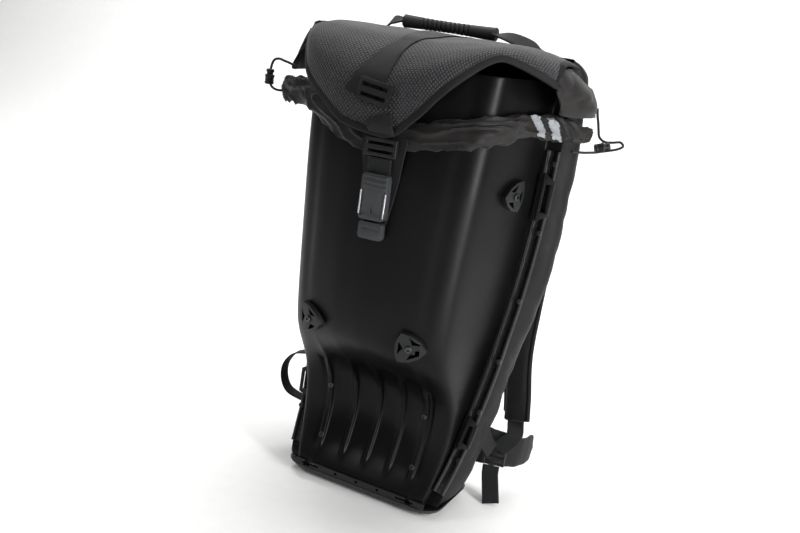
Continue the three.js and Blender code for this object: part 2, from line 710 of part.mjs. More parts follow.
// Hood: the mesh lid, drawn from its back edge over the crest and down to its front edge

function hoodLine(u) {
  const share = (key) => follow(hoodRows, key, u);
  const { lerp } = THREE.MathUtils;
  const [x, edge] = [hoodHalfWidth * share("across"), hoodHalfWidth * share("edge")];
  const y = -hoodFront * share("reach");
  const [drop, sag] = [hoodFlap * share("drop"), hoodFlap * share("sag")];
  return spline([
    point(x, hoodBack, hoodTop - 3 - sag),
    point(x, -0.16 * hoodFront, hoodTop - sag),
    point(lerp(x, edge, 0.3), y * 0.64, hoodTop - 0.08 * drop - 0.8 * sag),
    point(lerp(x, edge, 0.6), y * 0.95, hoodTop - 0.4 * drop - 0.4 * sag),
    point(edge, y, hoodTop - drop),
  ]);
}

/** A point of the hood at u from left to right and v from back to front, moved out along its normal. */
function hoodPoint(u, v, out) {
  const step = 0.01;
  const bare = (a, b) => hoodLine(THREE.MathUtils.clamp(a, 0, 1)).getPoint(THREE.MathUtils.clamp(b, 0, 1));
  const across = bare(u + step, v).sub(bare(u - step, v));
  const along = bare(u, v + step).sub(bare(u, v - step));
  return bare(u, v).addScaledVector(along.cross(across).normalize(), out);
}
const hoodUs = hoodRows.flatMap((row, i) => (i ? [(row.at + hoodRows[i - 1].at) / 2, row.at] : [row.at]));
const hoodVs = [0, 0.17, 0.34, 0.5, 0.64, 0.77, 0.89, 1];
function hoodSolid(outer, inner) {
  return wall(hoodUs, hoodVs, (u, v, depth) => hoodPoint(u, v, depth ? -inner : outer));
}
place("hood", cut(hoodSolid(0, hoodWall), bodyCutter), finish.mesh);

/** The hood with a gap round it, to seat other pieces on. */
const hoodCutter = hoodSolid(seatGap, hoodWall + seatGap);

/** A flat band laid on the hood between two places across it, each given at its back and its front end. */
function onHood(left, right, back, front, thicker = 0) {
  const outer = seatGap + webThickness + thicker;
  const layer = wall(hoodUs, hoodVs, (u, v, depth) => hoodPoint(u, v, depth ? seatGap : outer));
  const corners = [[left[0], back], [left[1], front], [right[1], front], [right[0], back]];
  const outline = new THREE.Shape(corners.map(([u, v]) => {
    const { x, y } = hoodPoint(u, v, 0);
    return new THREE.Vector2(x, y);
  }));
  const prism = plate(outline, hoodTop).translate(0, 0, 0.5 * hoodTop);
  return toGeometry(toSolid(layer).intersect(toSolid(prism)));
}
place("hood_strip", onHood([0.43, 0.445], [0.6, 0.545], 0.01, 0.56), finish.cloth);
place("hood_strap", onHood([0.447, 0.36], [0.543, 0.455], 0.57, 0.875), finish.cloth);

// Gussets: nylon side walls between the hood's side edges and the collar

const collarLevel = (at) => shellHeight * follow(collarRows, "level", at);
function gusset(side, name) {
  const edge = side < 0 ? 0 : 1;
  return wall(span(0, 1, 9), [0, 0.3, 0.65, 1], (u, v, depth) => {
    const share = (key) => follow(gussetRows[name], key, u);
    const low = point(side * bodyHalfWidth * share("across"), bodyDepth * share("behind"), shellHeight * 0.932);
    const top = hoodPoint(edge, THREE.MathUtils.clamp(1.05 * u - 0.05, 0, 1), 0);
    if (u < 0.3) top.lerp(point(side * 0.86 * bodyHalfWidth, bodyDepth * 0.75, hoodTop * 0.972), 1 - u / 0.3);
    top.z -= hoodWall + 1.6;
    top.x -= side * 1.5;
    const p = low.lerp(top, v);
    p.x += side * bodyHalfWidth * share("bulge") * Math.sin(Math.PI * v);
    const toMiddle = point(-side, 0, 0);
    return p.addScaledVector(toMiddle, depth * fabricWall);
  });
}
for (const [side, name] of [[-1, "left"], [1, "right"]]) {
  place(`gusset_${name}`, cut(gusset(side, name), bodyCutter, shellCutter, hoodCutter), finish.cloth);
}

// Collar: the gathered roll round the mouth

/** The collar past the ridges, in shares of bodyHalfWidth and frontDepth. On the left it puffs out. */
const collarPlan = {
  left: [[-0.83, -0.68], [-0.97, -0.52], [-1.045, -0.25], [-1.05, 0.03], [-1.035, 0.25]],
  right: [[0.875, -0.1], [0.965, 0.055], [1.035, 0.25]],
};
const collarLine = (() => {
  const out = collarThickness / 2 + 0.8;
  const onFace = (s) => shellPoint(s, 0.88 * shellHeight, out).setZ(0);
  const plan = ([across, behind]) => point(across * bodyHalfWidth, behind * frontDepth, 0);
  const left = collarPlan.left.map(plan).reverse();
  const front = [-1.7, -1, -0.6, -0.25, 0.25, 0.6, 1, 1.5, 2, 2.45].map(onFace);
  return spline([...left, ...front, ...collarPlan.right.map(plan)]);
})();
const puckers = (t) => 1 + 0.13 * Math.sin(t * 86) + 0.06 * Math.sin(t * 41 + 1);

/** A point of the collar's surface at t round it, at an angle from its outermost line. */
function collarPoint(t, angle, out) {
  const middle = collarLine.getPointAt(t);
  const tangent = collarLine.getTangentAt(t);
  const outwards = point(tangent.y, -tangent.x, 0);
  const behindPad = 1 - smooth(Math.abs(middle.x - buckleAt.x), 24, 44);
  const pressed = middle.y < -0.9 * frontDepth ? 1 - 0.68 * behindPad : 1;
  const ends = 0.55 + 0.45 * Math.sin(Math.PI * THREE.MathUtils.clamp(t, 0.03, 0.97)) ** 0.4;
  const [a, b] = [Math.cos(angle), Math.sin(angle)];
  const half = (a > 0 ? puckers(t) : 0.92) * (collarThickness / 2) * ends * pressed;
  const p = middle.clone().addScaledVector(outwards, half * a + out - (1 - pressed) * (collarThickness / 2));
  p.z = collarLevel(t) + (collarHalfHeight * ends + out) * b * (1 + 0.08 * Math.sin(t * 73));
  return p;
}
const buckleAt = { x: 9, low: 0.678 * shellHeight, high: 0.778 * shellHeight };
const collarRings = span(0, 1, 40).map((t) => span(0, 7, 8).map((i) => collarPoint(t, (-i * Math.PI) / 4, 0)));
place("collar", cut(skin(collarRings), shellCutter, bodyCutter, hoodCutter), finish.cloth);

/** Reflective strips across the collar, each between two places round it. */
const strips = [["left_1", 0.115, 0.127], ["left_2", 0.15, 0.162], ["right_1", 0.842, 0.854], ["right_2", 0.885, 0.897]];
for (const [name, from, to] of strips) {
  const strip = wall(span(from, to, 3), span(-1.15, 1.15, 5), (t, angle, depth) => collarPoint(t, angle, depth ? 0.45 : 1.15));
  place(`reflective_${name}`, cut(strip, skin(collarRings), bodyCutter, shellCutter), finish.reflective);
}

// Buckle, its webbing and the pad behind it

const buckleTilt = THREE.MathUtils.degToRad(1.5);

/** A plate on the front of the shell, between two heights, with its half width at each end. */
function onFront(low, high, halfLow, halfHigh, base, thickness, columns = 5, rows = 6) {
  return wall(span(-1, 1, columns), span(low, high, rows), (u, level, depth) => {
    const half = THREE.MathUtils.lerp(halfLow, halfHigh, Math.sqrt((level - low) / (high - low)));
    const shoulder = railHalfWidth * follow(shellRows, "ridge", level / shellHeight) - ridgeRadius;
    const over = 0.45 * collarThickness * smooth(level / shellHeight, 0.79, 0.815);
    return shellPoint((buckleAt.x + u * half) / shoulder, level, base + over + (depth ? 0 : thickness));
  });
}
const padBase = seatGap + 0.3;
const tonguePad = 3;
place("tongue_pad", onFront(0.635 * shellHeight, 0.853 * shellHeight, 4, 26, padBase, tonguePad), finish.cloth);

const buckleBase = padBase + tonguePad + seatGap;
function onBuckle(name, geometry, share, lift, material) {
  const level = share * shellHeight;
  const shoulder = railHalfWidth * follow(shellRows, "ridge", share) - ridgeRadius;
  const station = buckleAt.x / shoulder;
  const copy = geometry.clone().rotateZ(buckleTilt);
  const front = shellNormal(station, level).setX(0);
  return place(name, seated(copy, shellPoint(station, level, buckleBase + lift), front), material);
}
const buckleShare = (buckleAt.low + buckleAt.high) / 2 / shellHeight;
onBuckle("buckle_body", roundedBox(buckleWidth, buckleHeight, buckleThickness, 5), buckleShare, 1, finish.trim);
onBuckle("buckle_tab", roundedBox(buckleWidth - 2, 19, 8, 4), 0.658, 0.15, finish.trim);
function slider(width, height, thickness) {
  const bar = block(width, height, thickness, point(0, 0, thickness / 2));
  const slots = [-0.22, 0.22].map((share) => block(width - 7, 0.18 * height, 4 * thickness, point(0, share * height, 0)));
  return cut(bar, ...slots);
}
onBuckle("strap_slider", slider(webWidth + 4, 19, 5), 0.827, 0.45 * collarThickness + 1, finish.trim);
const lockLean = -0.12;
const ladderLock = seated(
  slider(webWidth + 5, 24, 6).rotateZ(lockLean),
  hoodPoint(0.412, 0.845, webThickness + seatGap - 1.3),
  hoodPoint(0.412, 0.845, 1).sub(hoodPoint(0.412, 0.845, 0)),
);
const strapCutter = onHood([0.44, 0.355], [0.55, 0.46], 0.57, 0.88, 2 * seatGap);
place("ladder_lock", cut(ladderLock, hoodCutter, strapCutter), finish.trim);

// Webbing down the front: from the ladder lock over the hood's tip to the slider and the buckle

const acrossFront = () => point(1, 0, 0);
const lockLow = hoodPoint(0.43, 0.93, webThickness + 1.6);
const sliderTop = shellPoint(0.09, 0.849 * shellHeight, buckleBase + 0.45 * collarThickness + 4);
const bowed = lockLow.clone().lerp(sliderTop, 0.5).add(point(1, -3.5, 0));
const frontStrap = band(spline([lockLow, bowed, sliderTop]), 6, webWidth - 2, webThickness, acrossFront);
place("front_strap", cut(frontStrap, hoodCutter), finish.cloth);
const sliderLow = shellPoint(0.09, 0.807 * shellHeight, buckleBase + 0.45 * collarThickness + 2);
const buckleTop = shellPoint(0.09, 0.7762 * shellHeight, buckleBase + 6);
const buckleStrap = band(new THREE.LineCurve3(sliderLow, buckleTop), 3, webWidth - 4, webThickness, acrossFront);
place("buckle_strap", buckleStrap, finish.cloth);

// Handle

const handleAt = point(-10, 0.27 * bodyDepth, handleLevel);
function handleGrip() {
  const half = handleLength / 2;
  const profile = [[0, -half], [0.8, -half], [1.1, -half + 3], [1.1, -half + 8], [0.9, -half + 14]];
  const mirroredProfile = profile.map(([r, y]) => [r, -y]).reverse();
  const points = [...profile, ...mirroredProfile].map(([r, y]) => new THREE.Vector2(r * handleRadius, y));
  return new THREE.LatheGeometry(points, 8).rotateZ(Math.PI / 2).translate(handleAt.x, handleAt.y, handleAt.z);
}
place("handle_grip", handleGrip(), finish.trim);
for (const [side, name] of [[-1, "left"], [1, "right"]]) {
  const end = handleAt.clone().add(point(side * (handleLength / 2 + 3 * seatGap), 0, 0));
  const foot = point(side * 0.585 * bodyHalfWidth, bodyDepth * 0.42, 1.046 * shellHeight + webThickness);
  const rise = end.clone().add(point(side * 14, 1, -1));
  const drop = foot.clone().add(point(side * -9, -3, 6));
  const line = spline([end, rise, drop, foot, foot.clone().add(point(side * 14, 4, -0.5))]);
  const web = band(line, 9, 20, webThickness * 1.6, () => point(0, 1, 0));
  place(`handle_web_${name}`, cut(web, bodyCutter), finish.cloth);
}

// Webbing of the shoulder straps down to the locks at the sides, and the loop behind the left rail

const sideLock = { across: 0.785, behind: 0.62, up: 0.103, width: 29, height: 19 };
for (const [side, name] of [[-1, "left"], [1, "right"]]) {
  const turned = point(side, 0.2, 0);
  const at = point(side * sideLock.across * bodyHalfWidth, sideLock.behind * bodyDepth, sideLock.up * shellHeight);
  const strapEnd = point(side * 0.83 * bodyHalfWidth, 1.27 * bodyDepth, 0.1725 * shellHeight);
  const top = at.clone().add(point(side * 3, 1.5, sideLock.height / 2 + 2.4));
  const line = spline([strapEnd, strapEnd.clone().lerp(top, 0.5).add(point(side * 9, -2, 2)), top]);
  place(`strap_web_${name}`, band(line, 5, tailWidth, webThickness, () => turned), finish.cloth);
  const lock = slider(sideLock.width, sideLock.height, 5).translate(0, 0, -2.5);
  place(`side_lock_${name}`, seated(lock, at, point(0.2 * side, -1, 0.25)), finish.trim);
}
const loopRows = [
  [-0.71, 0.03, 0.243], [-0.8, -0.01, 0.244], [-0.875, -0.07, 0.236], [-0.935, -0.1, 0.206], [-0.935, -0.1, 0.172],
  [-0.88, -0.08, 0.142], [-0.79, -0.02, 0.124], [-0.69, 0.02, 0.116],
];
const loopLine = spline(loopRows.map(([across, front, up]) => {
  return point(across * bodyHalfWidth, front * frontDepth, up * shellHeight);
}));
place("side_loop_left", cut(band(loopLine, 12, 17, webThickness, () => point(0, 1, 0)), shellCutter, bodyCutter), finish.cloth);

// Draw cords of the collar, with their spring locks

const cordPoints = {
  left: [
    [-154, -78, 503], [-162, -79, 506], [-171, -80, 508], [-179, -80.5, 509.5], [-186, -80, 507], [-189, -80, 500],
    [-190, -80, 491], [-190, -80, 484], [-187, -80, 477], [-181, -80, 473.5], [-174, -79.5, 473], [-169, -79, 474],
  ],
  right: [
    [170, -3, 461], [174, 8, 460.5], [178, 20, 460], [181, 32, 460], [184, 44, 460], [189, 51, 461.5], [197, 56, 464],
    [205, 60, 467], [210, 63, 471], [206, 63.5, 475], [198, 60, 473.5], [190, 55, 473], [184, 50, 477.5], [182, 47, 486],
    [180.6, 45, 494], [178.7, 43, 502], [177.7, 41, 510],
  ],
};
const cordLocks = { left: point(-190, -80, 487), right: point(188, 53, 466) };
function cord(points, radius) {
  const line = spline(points.map(([x, y, z]) => point(x, y, z)));
  const section = new THREE.Shape();
  span(0, 315, 8).forEach((turn, i) => {
    const angle = THREE.MathUtils.degToRad(turn);
    const [x, y] = [radius * Math.cos(angle), radius * Math.sin(angle)];
    if (i) section.lineTo(x, y);
    else section.moveTo(x, y);
  });
  const steps = Math.round(line.getLength() / (3.1 * cordDiameter));
  return new THREE.ExtrudeGeometry(section, { steps, extrudePath: line, bevelEnabled: false });
}
const lockBarrel = new THREE.CylinderGeometry(6, 7.5, 18, 8);
for (const name of ["left", "right"]) {
  place(`cord_${name}`, cord(cordPoints[name], cordDiameter / 2), finish.trim);
  const along = name === "left" ? point(0, 0, 1) : point(0.75, 0.45, 0.3);
  const lock = seated(lockBarrel, cordLocks[name], point(0.2, -1, 0.2), along);
  place(`cord_lock_${name}`, cut(lock, cord(cordPoints[name], cordDiameter / 2 + seatGap)), finish.trim);
}

export default group;
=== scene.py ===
# %% [markdown]
# # A hard shell backpack
# The pack stands on its flat base. Its front is one moulded shell with a ribbed scoop at the bottom, screwed
# through two side rails to a cloth body. A mesh hood is buckled down over a gathered collar. The scene loads
# the rigid model as a frame, and each piece is then dressed in its place. Sizes are in millimetres, as a
# maker would write them, and MM turns them into Blender's metres.

# %% Load the frame
import math

import bmesh
import bpy
import numpy as np
from mathutils import Matrix, Vector, noise
from mathutils.bvhtree import BVHTree


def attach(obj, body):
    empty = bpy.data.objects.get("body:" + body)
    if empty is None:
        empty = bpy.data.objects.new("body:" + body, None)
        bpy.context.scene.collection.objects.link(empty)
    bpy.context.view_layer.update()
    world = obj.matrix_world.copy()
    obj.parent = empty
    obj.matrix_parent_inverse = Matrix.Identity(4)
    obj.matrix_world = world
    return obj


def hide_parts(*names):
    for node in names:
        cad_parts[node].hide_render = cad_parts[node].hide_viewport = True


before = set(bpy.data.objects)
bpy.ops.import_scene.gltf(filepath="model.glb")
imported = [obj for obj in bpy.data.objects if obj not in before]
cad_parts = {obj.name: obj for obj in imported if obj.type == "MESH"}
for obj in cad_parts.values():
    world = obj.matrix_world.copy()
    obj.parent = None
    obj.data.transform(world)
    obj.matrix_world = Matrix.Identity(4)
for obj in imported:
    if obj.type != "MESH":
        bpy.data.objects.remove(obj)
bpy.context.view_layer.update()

MM = 0.001
SIDES = (("left", -1), ("right", 1))

# %% [markdown]
# ## The camera
# The photograph was taken from the pack's front right, a little above it, with the camera rolled a few
# degrees. The three directions are the camera's own right, up and backward. The lens follows from a focal
# length of 949.9 pixels and the picture's width of 800 on a 36 mm sensor.

# %% Camera at the photograph's angle
FOCAL_PIXELS, PICTURE_WIDTH, SENSOR_WIDTH = 949.91, 800, 36
CAMERA_PLACE = (464.3, -1044.3, 575.5)
azimuth, elevation, roll = (math.radians(a) for a in (24.87, 14.46, 8.63))
backward = Vector((
    math.sin(azimuth) * math.cos(elevation),
    -math.cos(azimuth) * math.cos(elevation),
    math.sin(elevation),
))
level_right = Vector((math.cos(azimuth), math.sin(azimuth), 0))
level_up = backward.cross(level_right)
camera_right = math.cos(roll) * level_right + math.sin(roll) * level_up
camera_up = -math.sin(roll) * level_right + math.cos(roll) * level_up

camera_data = bpy.data.cameras.new("camera")
camera_data.sensor_width = SENSOR_WIDTH
camera_data.lens = FOCAL_PIXELS * SENSOR_WIDTH / PICTURE_WIDTH
camera = bpy.data.objects.new("camera", camera_data)
bpy.context.collection.objects.link(camera)
turn = Matrix((camera_right, camera_up, backward)).transposed().to_4x4()
camera.matrix_world = Matrix.Translation(Vector(CAMERA_PLACE) * MM) @ turn
bpy.context.scene.camera = camera
print("camera lens:", round(camera_data.lens, 2), "mm")

# %% [markdown]
# ## Small tools
# A few helpers serve every piece. One clears the selection, because an operator acts on all that is selected.
# One turns a table of points into a smooth line. One draws a section along such a line, square to it, as
# webbing, cords and rails are made. It lays a UV map in metres, so that a weave keeps its thread spacing.

# %% Selecting and declaring
def bare():
    """Leaves object mode with nothing selected."""
    if bpy.context.object and bpy.context.object.mode != "OBJECT":
        bpy.ops.object.mode_set(mode="OBJECT")
    bpy.ops.object.select_all(action="DESELECT")


def pick(obj):
    bare()
    obj.select_set(True)
    bpy.context.view_layer.objects.active = obj
    return obj


def apply(obj, kind, **settings):
    """Adds a modifier with its settings and applies it."""
    pick(obj)
    modifier = obj.modifiers.new(kind.lower(), kind)
    for key, value in settings.items():
        setattr(modifier, key, value)
    bpy.ops.object.modifier_apply(modifier=modifier.name)
    return obj


def smooth(obj, degrees=40):
    pick(obj)
    bpy.ops.object.shade_smooth_by_angle(angle=math.radians(degrees))
    return obj


def bevelled(obj, width, angle):
    """Rounds by a width in mm the edges that are sharper than an angle in degrees."""
    return apply(
        obj, "BEVEL", width=width * MM, segments=3, limit_method="ANGLE", angle_limit=math.radians(angle)
    )


def subdivided(obj, levels):
    return apply(obj, "SUBSURF", levels=levels, render_levels=levels)


def cut(obj, tool):
    apply(obj, "BOOLEAN", operation="DIFFERENCE", object=tool, solver="EXACT")
    bpy.data.objects.remove(tool)
    return obj


def linked(name, data):
    obj = bpy.data.objects.new(name, data)
    bpy.context.collection.objects.link(obj)
    return obj


def laid(obj, at, out):
    """Turns a piece made along Z to the direction out, and takes it to a place in mm."""
    turn = Vector((0, 0, 1)).rotation_difference(Vector(out)).to_matrix().to_4x4()
    obj.data.transform(Matrix.Translation(Vector(at) * MM) @ turn)
    return obj


def edited(obj, *steps):
    """Runs operators of edit mode, each on the whole piece."""
    pick(obj)
    bpy.ops.object.mode_set(mode="EDIT")
    for step in steps:
        bpy.ops.mesh.select_all(action="SELECT")
        step()
    bpy.ops.object.mode_set(mode="OBJECT")
    return obj


def done(obj, slot, material, *nodes):
    """Gives a piece its finish and its place in the frame."""
    obj.data.materials.clear()
    obj.data.materials.append(material)
    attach(obj, "root")
    if nodes:
        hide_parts(*nodes)
    print(f"{obj.name}: {len(obj.data.polygons)} faces")
    return obj


# %% Smooth lines and drawn sections
def runs_of(points):
    """How far along a line each of its points lies."""
    return np.cumsum([0.0] + [(b - a).length for a, b in zip(points, points[1:])])


def mirrored(sign, points):
    """Points of the right side, or their mirror image on the left where sign is -1."""
    return [(sign * x, y, z) for x, y, z in points]


def smooth_line(points, step):
    """Points in mm, joined by a smooth curve and set out again a step apart."""
    p = [Vector(q) for q in points]
    p = [2 * p[0] - p[1], *p, 2 * p[-1] - p[-2]]
    dense = []
    for a, b, c, d in zip(p, p[1:], p[2:], p[3:]):
        for i in range(24):
            t = i / 24
            dense.append(0.5 * (
                2 * b + (c - a) * t + (2 * a - 5 * b + 4 * c - d) * t ** 2 + (3 * b - a - 3 * c + d) * t ** 3
            ))
    dense.append(p[-2])
    runs = runs_of(dense)
    count = max(2, round(runs[-1] / step) + 1)
    places = np.linspace(0, runs[-1], count)
    table = np.array(dense)
    return [Vector([np.interp(s, runs, table[:, k]) for k in range(3)]) for s in places]


def mesh_piece(name, points, faces, uvs):
    mesh = bpy.data.meshes.new(name)
    mesh.from_pydata([tuple(p * MM) for p in points], [], faces)
    layer = mesh.uv_layers.new(name="UVMap")
    layer.data.foreach_set("uv", np.array([uv for face in uvs for uv in face], dtype=np.float32).ravel() * MM)
    return edited(linked(name, mesh), lambda: bpy.ops.mesh.normals_make_consistent(inside=False))


def drawn(name, line, section, across):
    """A closed section drawn along a line. section(t) lists (aside, out) in mm, across(t) is a direction."""
    count = len(line)
    rings = []
    for i, p in enumerate(line):
        t = i / (count - 1)
        tangent = (line[min(i + 1, count - 1)] - line[max(i - 1, 0)]).normalized()
        side = Vector(across(t))
        side = (side - side.dot(tangent) * tangent).normalized()
        out = side.cross(tangent).normalized()
        rings.append([p + side * a + out * b for a, b in section(t)])
    sides = len(rings[0])
    around = runs_of(rings[0] + rings[0][:1])
    along = runs_of(line)
    faces, uvs = [], []
    for j in range(count - 1):
        for i in range(sides):
            k = (i + 1) % sides
            faces.append((j * sides + i, j * sides + k, (j + 1) * sides + k, (j + 1) * sides + i))
            u0, u1, v0, v1 = around[i], around[i + 1], along[j], along[j + 1]
            uvs.append([(u0, v0), (u1, v0), (u1, v1), (u0, v1)])
    for ring, order in ((0, -1), (count - 1, 1)):
        cap = [ring * sides + i for i in range(sides)][::order]
        faces.append(tuple(cap))
        uvs.append([(around[i % sides], along[ring]) for i in range(sides)][::order])
    return mesh_piece(name, [p for ring in rings for p in ring], faces, uvs)


def flat_section(width, thickness, crown=0.0):
    """A webbing's section: flat, with rounded selvedges, crowned if it is padded."""
    half, edge = width / 2, thickness / 2
    aside = [-half + edge * 0.3, *np.linspace(-half + edge, half - edge, 9), half - edge * 0.3]
    lift = [0.6] + [1.0] * 9 + [0.6]
    top = [(a, l * edge + crown * (1 - (a / half) ** 2)) for a, l in zip(aside, lift)]
    low = [(a, -l * edge - crown * (1 - (a / half) ** 2)) for a, l in zip(aside, lift)]
    return [(-half, 0.0), *top, (half, 0.0), *low[::-1]]


def band(name, node, points, width, thickness, across, step=2.0):
    """Webbing along a line of points in mm, in the place of a rigid piece."""
    piece = drawn(name, smooth_line(points, step), lambda t: flat_section(width, thickness), across)
    return done(smooth(piece, 60), "webbing", webbing, node)


# %% [markdown]
# ## The draw cords
# Two cords gather the collar, and each comes out at a side with a spring lock on it. They are 3 mm kernmantle
# cord, which is limp, so they curve in short arcs from the cloth to the lock and back. They come before the
# other pieces, because their solids would have to move if they spread too far. A cord is a round section
# drawn along its route.

# %% Cords
CORD, CORD_STEP = 3.0, 1.5
cord_routes = {
    "left": [
        (-154, -78, 503), (-162, -79, 506), (-171, -80, 508), (-179, -80.5, 509.5), (-186, -80, 507),
        (-189, -80, 500), (-190, -80, 491), (-190, -80, 484), (-187, -80, 477), (-181, -80, 473.5),
        (-174, -79.5, 473), (-169, -79, 474),
    ],
    "right": [
        (170, -3, 461), (174, 8, 460.5), (178, 20, 460), (181, 32, 460), (184, 44, 460), (189, 51, 461.5),
        (197, 56, 464), (205, 60, 467), (210, 63, 471), (206, 63.5, 475), (198, 60, 473.5), (190, 55, 473),
        (184, 50, 477.5), (182, 47, 486), (180.6, 45, 494), (178.7, 43, 502), (177.7, 41, 510),
    ],
}


def round_section(radius, sides=14):
    angles = [2 * math.pi * i / sides for i in range(sides)]
    return [(radius * math.cos(a), radius * math.sin(a)) for a in angles]


cords = {}
for side, route in cord_routes.items():
    line = smooth_line(route, CORD_STEP)
    facing = (0, -1, 0.1) if side == "left" else (0.2, -0.5, 0.9)
    cords[side] = drawn(f"draw_cord_{side}", line, lambda t: round_section(CORD / 2), lambda t: facing)

# %% [markdown]
# ## Materials
# Each finish starts from what the real one is and how its surface was made. A value that is the same all over
# a surface is set on the shader itself. Colour, roughness and relief that vary come from patterns whose scale
# is a real size: a grain in parts of a millimetre, a thread spacing, a weave.

# %% Colour and node helpers
def paint(code):
    """An sRGB hex colour as linear RGBA."""
    parts = [int(code[i:i + 2], 16) / 255 for i in (1, 3, 5)]
    return (*[c / 12.92 if c <= 0.04045 else ((c + 0.055) / 1.055) ** 2.4 for c in parts], 1.0)


def add(tree, kind, links=None, values=None, **settings):
    """A node of a kind, with its settings, its sockets' values, and links into its sockets."""
    node = tree.nodes.new(kind)
    for key, value in settings.items():
        setattr(node, key, value)
    for socket, value in (values or {}).items():
        node.inputs[socket].default_value = value
    for socket, source in (links or {}).items():
        tree.links.new(source, node.inputs[socket])
    return node


def finish(name, colour, roughness, **sockets):
    """A material with its shader set, and the tree to add patterns to."""
    material = bpy.data.materials.new(name)
    material.use_nodes = True
    tree = material.node_tree
    shader = tree.nodes["Principled BSDF"]
    shader.inputs["Base Color"].default_value = paint(colour)
    shader.inputs["Roughness"].default_value = roughness
    for socket, value in sockets.items():
        shader.inputs[socket.replace("_", " ")].default_value = value
    return material, tree, shader


def place_of(tree, where="Object"):
    return add(tree, "ShaderNodeTexCoord").outputs[where]


def maths(tree, operation, a, b=None, c=None):
    node = add(tree, "ShaderNodeMath", operation=operation)
    for i, value in enumerate((a, b, c)):
        if value is None:
            continue
        if isinstance(value, (int, float)):
            node.inputs[i].default_value = value
        else:
            tree.links.new(value, node.inputs[i])
    return node.outputs[0]


def blend(tree, factor, dark, light):
    """A colour that follows a pattern. Each end is a hex colour or another node's output."""
    node = add(tree, "ShaderNodeMix", {"Factor": factor}, data_type="RGBA")
    for socket, colour in (("A", dark), ("B", light)):
        if isinstance(colour, str):
            node.inputs[socket].default_value = paint(colour)
        else:
            tree.links.new(colour, node.inputs[socket])
    return node.outputs["Result"]


def ranged(tree, value, limits):
    return add(tree, "ShaderNodeMapRange", {"Value": value}, limits).outputs["Result"]


def vary(tree, shader, factor, dark, light, smoothest, roughest):
    """Colour and roughness that follow one pattern."""
    tree.links.new(blend(tree, factor, dark, light), shader.inputs["Base Color"])
    rough = ranged(tree, factor, {"To Min": smoothest, "To Max": roughest})
    tree.links.new(rough, shader.inputs["Roughness"])


def relief(tree, shader, height, depth):
    """Bump from a height pattern. depth is the real depth in mm."""
    bump = add(tree, "ShaderNodeBump", {"Height": height}, {"Distance": depth * MM, "Strength": 1.0})
    tree.links.new(bump.outputs["Normal"], shader.inputs["Normal"])


def clouds(tree, scale, detail, **values):
    """A noise pattern in the object's own coordinates."""
    values = {"Scale": scale, "Detail": detail, **values}
    return add(tree, "ShaderNodeTexNoise", {"Vector": place_of(tree)}, values).outputs["Fac"]


def summed(tree, first, share, second, other_share):
    return maths(tree, "MULTIPLY_ADD", first, share, maths(tree, "MULTIPLY", second, other_share))


# %% [markdown]
# ### Moulded plastics
# The shell is black thermoplastic, pressed over a form and left with a fine leather-like grain of about half
# a millimetre. It is satin: broad soft highlights along the ridges, a little scuffed where it is handled. The
# rails, buckle and tray are injection-moulded polyamide, which is greyer, flatter and finer in grain.

# %% Shell and trim plastics
def moulded(name, colour, scuffed, roughness, grain, depth, specular=0.5):
    """A moulded plastic with a pressed grain of a size in mm, and slow scuffs."""
    material, tree, shader = finish(name, colour, roughness, Specular_IOR_Level=specular)
    slow = clouds(tree, 9.0, 6.0, Roughness=0.62)
    fine = clouds(tree, 500 / grain, 3.0)
    cells = add(
        tree, "ShaderNodeTexVoronoi", {"Vector": place_of(tree)}, {"Scale": 1000 / grain}, feature="SMOOTH_F1"
    )
    spread = ranged(tree, summed(tree, slow, 0.75, fine, 0.25), {"From Min": 0.38, "From Max": 0.64})
    vary(tree, shader, spread, colour, scuffed, roughness - 0.05, roughness + 0.09)
    relief(tree, shader, summed(tree, cells.outputs["Distance"], 0.8, fine, 0.5), depth)
    return material


shell_plastic = moulded("grained_thermoplastic", "#050506", "#0a0a0b", 0.36, 0.6, 0.035, specular=0.15)
trim_plastic = moulded("moulded_polyamide", "#0c0d0e", "#151617", 0.44, 0.4, 0.03, specular=0.35)
buckle_plastic = moulded("moulded_acetal", "#242527", "#323436", 0.38, 0.35, 0.02)

# %% [markdown]
# ### Cloths
# All the cloth is black, and what tells one from another is its thread. The body and collar are coated nylon
# of a plain weave, which creases sharply and shines a little along a fold. The hood is a spacer mesh with
# small light knots 3.7 mm apart on a dark ground. The webbing is woven with ribs 1.6 mm apart along its
# length. The pads are covered in a finer knit. Weaves are drawn on the UV map, whose unit is a metre, so they
# follow the cloth round its folds.

# %% Woven, knitted and braided finishes
def threads_of(tree, spacing):
    """The UV map's two directions, in half turns per thread spacing in mm."""
    split = add(tree, "ShaderNodeSeparateXYZ", {"Vector": place_of(tree, "UV")})
    return [maths(tree, "MULTIPLY", split.outputs[axis], math.pi / (spacing * MM)) for axis in "XY"]


def woven(name, dark, light, thread, depth, roughness=0.62, sheen=0.25):
    """A plain weave with a thread spacing in mm, on the piece's UV map."""
    material, tree, shader = finish(
        name, dark, roughness, Sheen_Weight=sheen, Sheen_Roughness=0.45, Specular_IOR_Level=0.2
    )
    warp, weft = (maths(tree, "SINE", way) for way in threads_of(tree, thread))
    weave = maths(tree, "MULTIPLY_ADD", maths(tree, "MULTIPLY", warp, weft), 0.5, 0.5)
    slow = clouds(tree, 22.0, 5.0)
    spread = ranged(tree, summed(tree, weave, 0.35, slow, 0.65), {"From Min": 0.25, "From Max": 0.75})
    vary(tree, shader, spread, dark, light, roughness - 0.06, roughness + 0.1)
    relief(tree, shader, maths(tree, "MULTIPLY_ADD", slow, 0.6, weave), depth)
    return material


